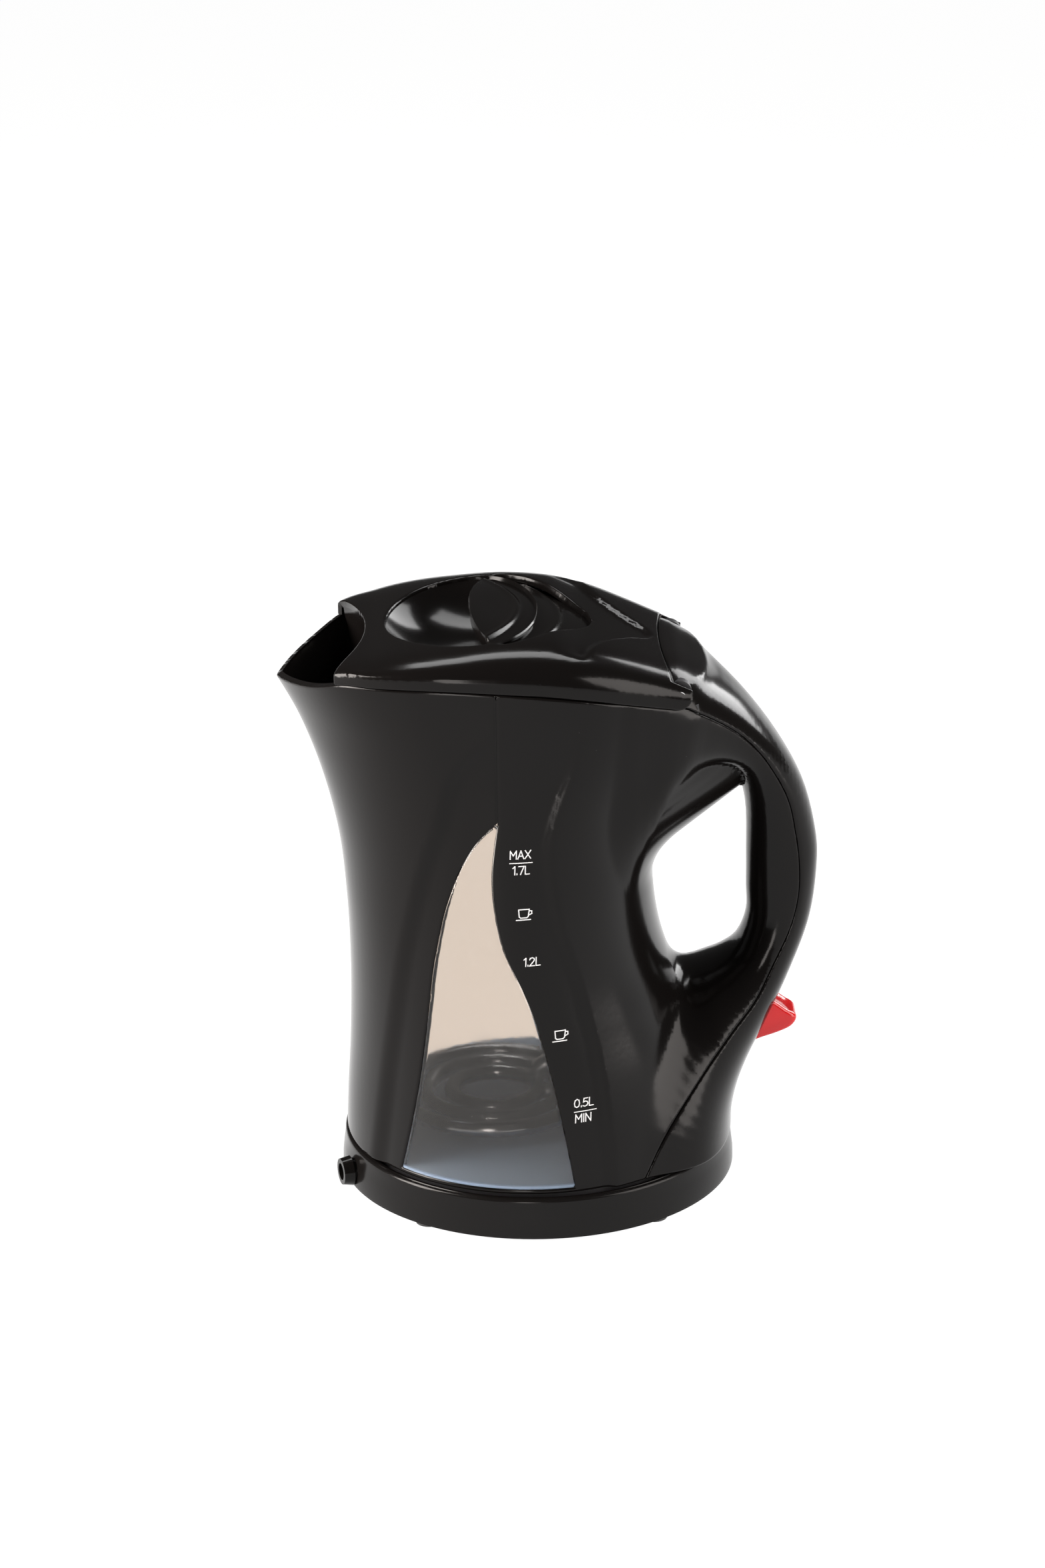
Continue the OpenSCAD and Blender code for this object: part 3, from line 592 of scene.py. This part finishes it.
COVER_LINE = Curve((12, 37), (36, 50.1), (55.7, 66.3), (67.4, 76.9), (74.8, 84), (89.6, 92.7),
                   (106.4, 100.5), (117, 102.8), (129.8, 103), (143, 101.4), (156.9, 98.4), (168.9, 92.8),
                   (181.8, 84.4), (190, 76.8), (196.4, 68.8), (201.5, 61.5), (204.6, 55.9), (206, 51),
                   (232, 30))


def g_cover(p):
    """Above zero on the cover over the back of the handle."""
    x, y, z = p.T
    return (x - COVER_LINE(z)) * 0.75


FIN_LEFT = Curve((18, -54.5), (30, -52), (56, -47), (84, -43), (114, -39), (138, -33), (150, -28),
                 (160, -21.6), (167, -14.6))
FIN_RIGHT = Curve((18, 13.2), (40, 9.4), (61, 5.2), (80, 0.6), (92, -3), (100, -6), (116, -13),
                  (131, -16.2), (147, -17), (158, -15.8), (167, -14.4))


WINDOW_FOOT = 20.6


def g_window(p):
    """Above zero on the water windows."""
    x, y, z = p.T
    sides = np.minimum(x - FIN_LEFT(z), FIN_RIGHT(z) - x)
    return np.minimum(np.minimum(sides, z - WINDOW_FOOT), np.abs(y) - 30)


JUG_FOOT = 18.6
JUG_BOX = ((-122, -84, 12), (118, 84, 226))
outer, quads = surface(body, *JUG_BOX, GRID)
outer = settle(body, outer)
tris = triangles(quads)
above_foot = lambda p: p[:, 2] - JUG_FOOT
outer, tris = keep(outer, tris, above_foot)

cover = keep(outer, tris, lambda p: np.minimum(g_cover(p), g_rim(p)))
skin = keep(outer, tris, lambda p: np.minimum(-g_cover(p), g_rim(p)))


def trimmed(mesh, wall, *lines, **lip):
    """Trims a skin along each line, rounds those edges and gives it its wall."""
    points, faces = mesh
    for line in lines:
        points, faces = with_lip(body, points, faces, line, **lip)
    return shell(body, points, faces, wall)


WALL = 2.4
jug = trimmed(skin, WALL, lambda p: -g_cover(p), g_rim, lambda p: -g_window(p), above_foot)
jug_obj = make("jug_skin", *jug, BLACK, "jug", "black_gloss")
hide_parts("jug_shell")

SLOT_HALF, SLOT_TALL, SLOT_Z = 8.2, 10.6, 61


def g_switch_slot(p):
    """Above zero outside the slot that the switch stands in."""
    x, y, z = p.T
    return np.maximum(np.abs(y) - SLOT_HALF, np.abs(z - SLOT_Z) - SLOT_TALL)


back = trimmed(cover, WALL, g_cover, g_rim, g_switch_slot, above_foot)
cover_obj = make("handle_cover_skin", *back, BLACK, "jug", "black_gloss")
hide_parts("handle_cover")

for side, name in ((-1, "near"), (1, "far")):
    pane = keep(*skin, lambda p: np.minimum(g_window(p), side * p[:, 1]))
    pane = trimmed(pane, WALL, g_window, depth=0.3, gap=0.08)
    window_obj = make("window_pane_" + name, *pane, WINDOW, "jug", "window")
    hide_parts("window_" + name)


# ---------------------------------------------------------------- lid
FRONT_RADIUS = 88.0                     # curved front edge of the lid
LID_FRONT = -63.9
RECESS_X, RECESS_FRONT, RECESS_BACK, RECESS_HALF = -20, 36, 22, 42.5


def g_lid(p):
    """Above zero on the lid: behind its curved front edge and clear of the handle."""
    x, y, z = p.T
    arc = np.hypot(x - LID_FRONT + FRONT_RADIUS, y) - FRONT_RADIUS
    return np.minimum(np.minimum(arc, z - rim(x)), -g_tongue(p))


def g_recess(p):
    """Above zero inside the rim of the thumb recess."""
    x, y, z = p.T
    u = (x - RECESS_X) / np.where(x < RECESS_X, RECESS_FRONT, RECESS_BACK)
    return (1 - np.sqrt(u * u + (y / RECESS_HALF) ** 2)) * 34


LEVER_TAIL, LEVER_NOSE, LEVER_TIP = 23.4, -23.9, -24


def lever_half(x):
    """Half width of the thumb lever's outline."""
    return Curve((-24, 0), (-23.6, 8), (-22.4, 19), (-20.5, 29), (-18, 36.5), (-15.4, 41.3), (-11, 43),
                 (-6, 41), (0, 36.6), (9, 26.5), (15.5, 18), (20, 10.5), (22.4, 5.2), (LEVER_TAIL, 0))(x)


def g_lever(p):
    """Above zero inside the lever's outline."""
    x, y, z = p.T
    return np.minimum(lever_half(x) - np.abs(y), np.minimum(x - LEVER_TIP, LEVER_TAIL - x)) * 0.8


LID_BOX = ((-86, -66, 198), (70, 66, 238))
top, quads = surface(lid, *LID_BOX, GRID * 0.8)
top = settle(lid, top)
top, tris = keep(top, triangles(quads), g_lid)
top, tris = with_lip(lid, top, tris, g_lid)
opening = lambda p: -np.maximum(np.where(p[:, 0] < 2, g_recess(p), -1), g_lever(p))
upper = lambda p: np.where(p[:, 2] > 215, opening(p), 1.0)
top, tris = with_lip(lid, top, tris, upper, gap=0, width=1.2, depth=0.7)
lid_mesh = shell(lid, top, tris, WALL)
lid_obj = make("lid_skin", *lid_mesh, BLACK, "lid", "black_gloss")
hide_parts("lid_shell")


def follow(f, x, y, start, lift=0.0, turns=14):
    """Height where the surface of f lies over a plan point, searched from a starting height."""
    p = np.stack([x, y, start], 1).astype(float)
    for _ in range(turns):
        g = gradient(f, p)
        p[:, 2] -= np.clip(f(*p.T) / np.maximum(g[:, 2], 0.15), -2.5, 2.5)
    return p[:, 2] + lift


def recess_edge(count):
    """Plan outline of the thumb recess."""
    a = np.linspace(0, 2 * math.pi, count, endpoint=False)
    reach = np.where(np.cos(a) < 0, RECESS_FRONT, RECESS_BACK)
    return np.stack([RECESS_X + reach * np.cos(a), RECESS_HALF * np.sin(a)], 1)


BOWL_FLOOR = 214.0
BOWL_WALL = 1.6


def recess_bowl():
    """Deep dished bowl under the recess rim, closed below by its own thickness."""
    count = 120
    edge = recess_edge(count)
    centre = np.array([-21.0, 0.0])
    edge_z = follow(lid, np.clip(edge[:, 0], -60, -12), edge[:, 1], np.full(count, 231.0)) - 0.75
    stack = []
    for s in np.linspace(0, 1, 26):
        plan = centre + (edge - centre) * (1.012 - 1.01 * s**1.7)
        z = edge_z + (BOWL_FLOOR - edge_z) * step(s * 1.18) ** 0.8
        stack.append(np.column_stack([plan, z]))
    for s in np.linspace(1, 0, 12):
        plan = centre + (edge - centre) * (1.03 - 1.028 * s**1.7)
        z = edge_z + (BOWL_FLOOR - BOWL_WALL - edge_z) * step(s * 1.18) ** 0.8 - 0.5 * (1 - s)
        stack.append(np.column_stack([plan, z]))
    return looped(stack)


make("lid_recess_bowl", *recess_bowl(), BLACK, "lid", "black_gloss", sharp=60)


def front_wall():
    """Curved wall that closes the front of the lid, seen down the spout."""
    columns = 60
    a = np.radians(np.linspace(-27, 27, columns))
    x0 = LID_FRONT - FRONT_RADIUS
    outer_x, outer_y = x0 + (FRONT_RADIUS + 0.7) * np.cos(a), FRONT_RADIUS * np.sin(a)
    top_z = follow(lid, np.maximum(outer_x, -72), outer_y, np.full(columns, 224.0)) - 0.9
    rows = []
    for dx, z in ((0, top_z), (0.6, 0.5 * top_z + 106), (1.8, 212), (2.4, 203.5), (4.4, 203.5), (3.8, 212),
                  (2.4, 0.5 * top_z + 106), (2.0, top_z)):
        rows.append(np.column_stack([outer_x + dx, outer_y, np.broadcast_to(z, columns)]))
    points = np.concatenate(rows)
    faces = []
    count = len(rows)
    for r in range(count):
        for i in range(columns - 1):
            q = (r + 1) % count
            faces.append((r * columns + i, r * columns + i + 1, q * columns + i + 1, q * columns + i))
    faces.append(tuple(r * columns for r in range(count)))
    faces.append(tuple(r * columns + columns - 1 for r in range(count))[::-1])
    return points, faces


make("lid_front_wall", *front_wall(), BLACK, "lid", "black_gloss", sharp=40)


# ---------------------------------------------------------------- thumb lever
DISC_BACK, DISC_BOW = -4.9, 0.0095      # first step across the lever, and how far it bows back
TAIL_FROM, TAIL_BOW = 11, 0.009         # second step


def lever_top(x, y):
    """Height of the thumb lever: a dished disc, a step down behind it, then a tail."""
    spine = Curve((-24, 234.6), (-18, 234.2), (-10, 233.3), (-3, 232.2), (4, 230.9), (11, 229.4),
                  (18, 227.3), (24, 225.2))(x)
    cross = -0.0015 * y * y
    first = DISC_BACK - DISC_BOW * y * y
    second = TAIL_FROM - TAIL_BOW * y * y
    ridge = 0.5 * (np.exp(-((x - first) / 1.5) ** 2) + 0.8 * np.exp(-((x - second) / 1.4) ** 2))
    drop = -0.9 * step((x - first) / 2.4 + 0.3) - 0.7 * step((x - second) / 2.2 + 0.3)
    dish = -1.2 * np.exp(-(((x + 14) / 8) ** 2) - (y / 26) ** 2)
    return spine + cross + ridge + drop + dish + 0.3


LEVER_EDGE = 1.3                        # how far the lever's edge rolls down
LEVER_SIDE = 3.4                        # height of its side


def lever_mesh():
    """Lever as rings along its length: top skin, rounded edge, side and underside."""
    count = 61
    stack = []
    for s in np.linspace(0.0, 1.0, 110):
        x = LEVER_NOSE + (LEVER_TAIL + 23.8) * (s - 0.1 * math.sin(2 * math.pi * s))
        wide = max(float(lever_half(np.array([x]))[0]) - 0.35, 0.15)
        t = np.linspace(-1, 1, count)
        edge = 1.0 - np.sqrt(np.clip(1 - ((np.abs(t) - 0.955) / 0.045).clip(0, 1) ** 2, 0, 1))
        nose = max(0.0, 1 - (x - LEVER_NOSE) / 1.2)
        round_nose = LEVER_EDGE * (1 - math.sqrt(max(0.0, 1 - nose**2)))
        upper = lever_top(np.full(count, x), t * wide) - LEVER_EDGE * edge - round_nose
        depth = LEVER_SIDE - min(1.8, 1.8 * nose)
        lower = lever_top(np.full(count, x), t * wide) - LEVER_EDGE - depth + 1.0 * edge
        ring_up = np.column_stack([np.full(count, x), t * wide, upper])
        ring_down = np.column_stack([np.full(count, x), t * wide, np.minimum(lower, upper - 0.3)])[::-1]
        stack.append(np.concatenate([ring_up, ring_down]))
    return rings(stack)


lever_obj = make("thumb_lever", *lever_mesh(), BLACK, "lever", "black_gloss", sharp=50)
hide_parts("lid_lever")


def lever_stem():
    """Plinth under the lever, standing in the recess."""
    x = np.concatenate([np.linspace(-23.8, 8, 40), np.linspace(8, -23.8, 40)])
    y = lever_half(x) * np.repeat([-1, 1], 40)
    plan = np.stack([x, y], 1)
    middle = np.array([-4.0, 0.0])
    stack = []
    for drop, grow in ((2.4, 0.93), (4, 0.92), (8, 0.9), (13, 0.89), (17, 0.88)):
        at = middle + (plan - middle) * grow
        z = lever_top(at[:, 0], at[:, 1]) - 1.6 - drop
        stack.append(np.column_stack([at, z]))
    return rings(stack[::-1])


make("thumb_lever_stem", *lever_stem(), BLACK, "lever", "black_gloss", sharp=50)


# ---------------------------------------------------------------- switch
SWITCH_HALF = 7.8
HOLLOW_DEPTH = 1.7


def paddle():
    """Rounded switch key with a hollowed top face."""
    outline = np.array([[80.5, 70.0], [86, 71.6], [91, 71.2], [95.5, 68.4], [99, 65.6], [101.9, 63.5],
                        [102.9, 61.8], [102.3, 59.6], [100, 57.4], [95, 55.2], [89, 53.2], [84, 51.4],
                        [78.5, 51.0], [77.5, 60]])
    s = np.arange(len(outline) + 6) - 3
    wrapped = outline[s % len(outline)]
    q = np.linspace(0, len(outline), 84, endpoint=False)
    smooth = np.stack([Curve(*zip(s, wrapped[:, k]))(q) for k in (0, 1)], 1)
    middle = np.array([91.0, 61.5])
    along = np.roll(smooth, -1, 0) - np.roll(smooth, 1, 0)
    upward = np.clip(along[:, 0] / np.linalg.norm(along, axis=1), 0, 1)
    hollow = upward**1.5 * step((smooth[:, 0] - 85) / 6) * step((103 - smooth[:, 0]) / 6)
    stack = []
    for t in np.linspace(-1, 1, 41):
        shrink = 1 - 0.2 * (1 - math.sqrt(max(0.0, 1 - max(0.0, (abs(t) - 0.66) / 0.34) ** 2)))
        ring = middle + (smooth - middle) * shrink
        ring[:, 1] -= HOLLOW_DEPTH * hollow * (1 - t * t)
        stack.append(np.column_stack([ring[:, 0], np.full(len(ring), SWITCH_HALF * t), ring[:, 1]]))
    return rings(stack)


paddle_obj = make("switch_paddle", *paddle(), RED, "switch", "red_switch", sharp=60)
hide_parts("switch_rocker")


# ---------------------------------------------------------------- base
def arc(centre, radius, start, end, count):
    """Points of a circular arc between two angles in degrees."""
    a = np.radians(np.linspace(start, end, count))
    return [(centre[0] + radius * math.cos(v), centre[1] + radius * math.sin(v)) for v in a]


BASE_INNER = 60                         # the ring ends here, over the base shell
base_profile = (
    [(74.6, 1.7), (76.6, 1.6)] + arc((76.9, 2.7), 1.1, -80, 10, 6) + [(77.9, 6), (77.3, 11), (76.7, 15)]
    + arc((75.3, 16.4), 1.4, 5, 90, 8) + [(74.2, 17.8)] + arc((74.2, 17.2), 0.6, 90, 180, 4)
    + [(73.2, 13.2), (72, 12.4), (BASE_INNER, 12.2)])
make("base_ring", *turned(base_profile + [(BASE_INNER, 10.2), (71, 10.2), (74.6, 8)]), BASE_BLACK,
     "power_base", "black_gloss", sharp=40)


def swept(path, radius, count=20):
    """A round bar swept along a run of points."""
    path = np.asarray(path, float)
    tangent = np.gradient(path, axis=0)
    tangent /= np.linalg.norm(tangent, axis=1)[:, None]
    side = np.cross(tangent, [0, 0, 1.0])
    side /= np.linalg.norm(side, axis=1)[:, None]
    up = np.cross(side, tangent)
    a = np.linspace(0, 2 * math.pi, count, endpoint=False)
    return rings([p + radius * (np.outer(np.cos(a), u) + np.outer(np.sin(a), w))
                  for p, u, w in zip(path, side, up)])


COIL_X, COIL_Z = -17.0, 30.6
TURN_RADII = (38.0, 27.5, 17.0)
GAP_ANGLE = 15.0
HEAD_X = 43.8                           # where the two legs meet the element's head
LEG_RISE = 9.4
LEG_BEND = 4.4
TURN_POINTS = 90
TUBE_RADIUS = 3.3


def coil_path():
    """Three turns on one level, joined end to end, and the two ends rising to the head."""
    def turn(r, start, end):
        a = np.radians(np.linspace(start, end, TURN_POINTS))
        return np.stack([COIL_X + r * np.cos(a), r * np.sin(a), np.full(TURN_POINTS, COIL_Z)], 1)

    def join(a, b, lean):
        s = np.linspace(0, 1, 12)[1:-1, None]
        w = 1 - s
        lean = 5 * np.array([math.sin(math.radians(GAP_ANGLE)), lean, 0])
        return w**3 * a + 3 * s * w**2 * (a + lean) + 3 * s**2 * w * (b + lean) + s**3 * b

    def riser(low, heading):
        high = low + np.array([2, 0, LEG_RISE])
        end = np.array([HEAD_X, low[1], high[2]])
        s = np.linspace(0, 1, 9)[:, None]
        bend = ((1 - s) ** 2 * (high + np.array([LEG_BEND, 0, 0])) + 2 * s * (1 - s) * high
                + s**2 * (high * 0.53 + low * 0.47))
        foot = ((1 - s) ** 2 * (high * 0.47 + low * 0.53) + 2 * s * (1 - s) * low
                + s**2 * (low + LEG_BEND * np.asarray(heading)))
        return np.concatenate([[end], bend, foot])

    outer_turn = turn(TURN_RADII[0], -GAP_ANGLE - 8, GAP_ANGLE - 360)
    middle = turn(TURN_RADII[1], GAP_ANGLE, 360 - GAP_ANGLE)
    inner_turn = turn(TURN_RADII[2], -GAP_ANGLE, GAP_ANGLE + 18 - 360)
    start = turn(TURN_RADII[0], -GAP_ANGLE, 0)[0]
    end = turn(TURN_RADII[2], GAP_ANGLE, 0)[0]
    return np.concatenate([
        riser(start, (-0.26, -0.97, 0)), outer_turn, join(outer_turn[-1], middle[0], -0.97), middle,
        join(middle[-1], inner_turn[0], 0.97), inner_turn, riser(end, (-0.26, 0.97, 0))[::-1]])


coil_obj = make("element_tube", *swept(coil_path(), TUBE_RADIUS, 24), ELEMENT, "jug", "element", sharp=60)
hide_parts("heating_element")


# ---------------------------------------------------------------- inside of the jug
def contour(z, inset, count=160):
    """Plan outline of the jug at a height, drawn in by inset."""
    a = np.linspace(0, 2 * math.pi, count, endpoint=False)
    mid = float(widest(np.array(z)))
    low, high = np.zeros(count), np.full(count, 130.0)
    for _ in range(32):
        r = (low + high) / 2
        inside = vessel(mid + r * np.cos(a), r * np.sin(a), np.full(count, z)) < 0
        low, high = np.where(inside, r, low), np.where(inside, high, r)
    p = np.stack([mid + low * np.cos(a), low * np.sin(a)], 1)
    after, before = np.roll(p, -1, 0), np.roll(p, 1, 0)
    n = np.stack([after[:, 1] - before[:, 1], before[:, 0] - after[:, 0]], 1)
    n /= np.linalg.norm(n, axis=1)[:, None]
    return np.column_stack([p - n * inset, np.full(count, z)])


FLOOR_UNDER, FLOOR_TOP, FLOOR_INSET = 19.2, 21.6, 3.0


def floor_plate():
    """Floor of the water space, clear of the walls."""
    return rings([contour(FLOOR_UNDER, FLOOR_INSET), contour(FLOOR_TOP, FLOOR_INSET)])


# the floor plate carries a painted blue reflection in place of its own black
make("jug_floor", *floor_plate(), FLOOR_PAINTED_BLUE_REFLECTION, "jug", "black_gloss", sharp=40)


LINER_COSINE = 0.42                     # cosine of the angle that the liner reaches to each side
LINER_OUTER, LINER_INNER = 2.3, 3.9     # how far its two faces are drawn in from the outline
BAY_TOP, BAY_FRONT = 69.4, 46.2         # the control bay behind its lower part


def liner():
    """Wall of the vessel behind the handle, from the front of the control bay up to the rim."""
    levels = np.linspace(21, 200, 38)
    stack = [contour(z, LINER_OUTER) for z in levels] + [contour(z, LINER_INNER) for z in levels[::-1]]
    n = len(stack[0])
    points = np.concatenate(stack)
    keep_column = [i for i in range(n) if math.cos(2 * math.pi * i / n) > LINER_COSINE]
    keep_column.sort(key=lambda i: (i + n // 2) % n)
    rows = len(stack)
    faces = []
    for r in range(rows):
        q = (r + 1) % rows
        for i, j in zip(keep_column[:-1], keep_column[1:]):
            faces.append((r * n + i, r * n + j, q * n + j, q * n + i))
    faces.append(tuple(r * n + keep_column[0] for r in range(rows))[::-1])
    faces.append(tuple(r * n + keep_column[-1] for r in range(rows)))
    clear = np.minimum(points[:, 0], BAY_FRONT)
    points[:, 0] = np.where(points[:, 2] < BAY_TOP, clear, points[:, 0])
    used = np.unique([v for f in faces for v in f])
    new = {int(v): k for k, v in enumerate(used)}
    return points[used], [tuple(new[int(v)] for v in f) for f in faces]


make("jug_liner", *liner(), BLACK, "jug", "black_gloss", sharp=40)


# ---------------------------------------------------------------- level marks on the window
GLYPHS = {
    "M": [[(0, 0), (0, 6), (2.2, 2.4), (4.4, 6), (4.4, 0)]],
    "A": [[(0, 0), (2.1, 6), (4.2, 0)], [(0.8, 2), (3.4, 2)]],
    "X": [[(0, 0), (4, 6)], [(0, 6), (4, 0)]],
    "I": [[(0.4, 0), (0.4, 6)]],
    "N": [[(0, 0), (0, 6), (3.8, 0), (3.8, 6)]],
    "L": [[(0, 6), (0, 0), (3, 0)]],
    "1": [[(0.2, 4.8), (1.6, 6), (1.6, 0)]],
    "2": [[(0, 4.6), (0.5, 5.7), (1.8, 6), (3.1, 5.5), (3.4, 4.4), (2.8, 3.2), (0, 0), (3.6, 0)]],
    "5": [[(3.4, 6), (0.6, 6), (0.3, 3.3), (1.8, 3.8), (3.2, 3.2), (3.6, 1.9), (3, 0.6), (1.6, 0),
           (0, 0.6)]],
    "7": [[(0, 6), (3.8, 6), (1.4, 0)]],
    "0": [[(1.9, 6), (0.5, 5.2), (0, 3), (0.5, 0.8), (1.9, 0), (3.3, 0.8), (3.8, 3), (3.3, 5.2),
           (1.9, 6)]],
    ".": [[(0.3, 0), (0.3, 0.7)]],
    "cup": [[(0.6, 5), (1, 1.2), (1.8, 0.5), (5, 0.5), (5.8, 1.2), (6.2, 5), (0.6, 5)],
            [(6.1, 4.2), (7.5, 4), (7.6, 2.6), (5.9, 1.8)], [(-0.4, -0.6), (7, -0.6)]],
}
WIDTHS = {"M": 5.6, "A": 5.2, "X": 5, "I": 1.9, "N": 5, "L": 4, "1": 2.9, "2": 4.7, "5": 4.7, "7": 4.8,
          "0": 4.9, ".": 1.5}
# words, with the place of their lower left corner on the skin (x, z) and their size
MARKS = [("MAX", -10.2, 152.7, 0.52), ("1.7L", -9.4, 146.6, 0.52), ("cup", -7.9, 129.2, 0.72),
         ("1.2L", -5.8, 110.6, 0.52), ("cup", 5.2, 80.2, 0.72), ("0.5L", 12.8, 52.8, 0.52),
         ("MIN", 13.2, 46.8, 0.52)]
RULES = [((-10.4, 151.0), (-1.9, 151.0)), ((12.8, 51.0), (21.3, 51.0))]


STROKE, RULE = 0.36, 0.3                # widths of the printed strokes and rules
SKIN_Y = -70.0                          # the search for the skin starts here
PRINT_TOP, PRINT_UNDER = 0.1, 0.02      # height of the print's two faces above the skin


def marks():
    """Thin strokes laid on the near side of the jug."""
    points, faces = [], []

    def bar(a, b, width):
        a, b = np.asarray(a, float), np.asarray(b, float)
        d = (b - a) / np.linalg.norm(b - a)
        n = np.array([-d[1], d[0]]) * width / 2
        ends = (a - d * width / 2, b + d * width / 2)
        steps = max(2, int(np.linalg.norm(b - a) / 1.5) + 2)
        base = len(points)
        for s in np.linspace(0, 1, steps):
            middle = ends[0] * (1 - s) + ends[1] * s
            points.extend([middle + n, middle - n])
        for k in range(steps - 1):
            q = base + 2 * k
            faces.append((q, q + 1, q + 3, q + 2))

    for word, x, z, size in MARKS:
        for letter in ([word] if word == "cup" else word):
            for stroke in GLYPHS[letter]:
                run = [(x + size * (u + 0.04 * v), z + size * v) for u, v in stroke]
                for a, b in zip(run[:-1], run[1:]):
                    bar(a, b, STROKE)
            x += size * WIDTHS.get(letter, 0)
    for a, b in RULES:
        bar(a, b, RULE)
    flat = np.array(points)
    p = np.column_stack([flat[:, 0], np.full(len(flat), SKIN_Y), flat[:, 1]])
    for _ in range(12):
        g = gradient(body, p)
        p[:, 1] -= np.clip(body(*p.T) / np.where(np.abs(g[:, 1]) < 0.2, -0.2, g[:, 1]), -4, 4)
    n = gradient(body, p)
    n /= np.linalg.norm(n, axis=1)[:, None]
    top_face, under = p + PRINT_TOP * n, p + PRINT_UNDER * n
    count = len(p)
    sides = [(a, a + count, b + count, b) for a, b in border(np.array(faces))]
    return (np.concatenate([top_face, under]),
            [tuple(f) for f in faces] + [tuple(v + count for v in f[::-1]) for f in faces] + sides)


make("level_marks", *marks(), MARK, "jug", "window", sharp=30)


# ---------------------------------------------------------------- camera, light and floor
SENSOR = 36


def look(position, forward, up, lens):
    """Puts the scene's camera at a position, with its view and upward directions."""
    data = bpy.data.cameras.new("camera")
    data.lens = lens
    data.sensor_width = SENSOR
    data.sensor_height = SENSOR
    data.sensor_fit = "VERTICAL"
    data.clip_end = 50
    cam = bpy.data.objects.new("camera", data)
    back_axis = -Vector(forward).normalized()
    right = Vector(up).cross(back_axis).normalized()
    true_up = back_axis.cross(right)
    turn = Matrix((right, true_up, back_axis)).transposed()
    cam.matrix_world = Matrix.Translation(position) @ turn.to_4x4()
    bpy.context.scene.collection.objects.link(cam)
    bpy.context.scene.camera = cam


TURN, PITCH, ROLL = math.radians(1.11444), 0.3549146, -0.014184964
FIRST_YAW = -0.00259213
CAMERA_AT = (-30.87, -1587.34, 748.27)
LENS = 100


def aim():
    """Camera a little above the kettle, looking down at its side."""
    yaw = FIRST_YAW + TURN
    forward = Vector((math.sin(yaw) * math.cos(PITCH), math.cos(yaw) * math.cos(PITCH), -math.sin(PITCH)))
    right = forward.cross(Vector((0, 0, 1))).normalized()
    level_up = right.cross(forward)
    up = level_up * math.cos(ROLL) - right * math.sin(ROLL)
    position = (Vector(CAMERA_AT) + Vector(SHIFT)) * MM
    look(position, forward, up, LENS)


aim()


def area_light(name, position, target, size, power, color=(1, 1, 1)):
    """A rectangular lamp facing a point."""
    data = bpy.data.lights.new(name, "AREA")
    data.shape = "RECTANGLE"
    data.size, data.size_y = size
    data.energy = power
    data.color = color
    lamp = bpy.data.objects.new(name, data)
    lamp.location = position
    lamp.rotation_euler = (Vector(target) - Vector(position)).to_track_quat("-Z", "Y").to_euler()
    bpy.context.scene.collection.objects.link(lamp)


CENTRE = (0, 0, 0.12)                   # where the lamps point, m
WARM = (1.0, 0.94, 0.9)
area_light("left softbox", (-1.1, -0.25, 0.55), CENTRE, (0.5, 1.1), 42, (1.0, 0.93, 0.88))
area_light("right softbox", (1.3, -0.6, 0.6), CENTRE, (1.0, 1.4), 26, WARM)
area_light("front strip", (-0.25, -1.7, 0.35), CENTRE, (0.3, 0.9), 7, WARM)
area_light("top softbox", (0.1, 0.5, 1.3), CENTRE, (0.9, 0.35), 9)
area_light("rear softbox", (0.9, 0.9, 0.7), CENTRE, (0.6, 0.8), 12)

world = bpy.data.worlds.new("studio")
bpy.context.scene.world = world
world.use_nodes = True
background = world.node_tree.nodes["Background"]
background.inputs["Color"].default_value = (1, 1, 1, 1)
background.inputs["Strength"].default_value = 0.06


FLOOR_HALF = 14.0                       # m


def floor():
    """Wide pale table, lit from within so that it stays even to its far edge."""
    mesh = bpy.data.meshes.new("floor")
    s = FLOOR_HALF
    mesh.from_pydata([(-s, -s, 0), (s, -s, 0), (s, s, 0), (-s, s, 0)], [], [(0, 1, 2, 3)])
    obj = bpy.data.objects.new("floor", mesh)
    m, tree, shader, coords = material("pale floor", (0.12, 0.12, 0.12), 0.8)
    shader.inputs["Emission Color"].default_value = (1, 1, 1, 1)
    shader.inputs["Emission Strength"].default_value = 0.97
    shader.inputs["Specular IOR Level"].default_value = 0.0
    mesh.materials.append(m)
    bpy.context.scene.collection.objects.link(obj)


floor()
bpy.context.scene.view_settings.view_transform = "Standard"
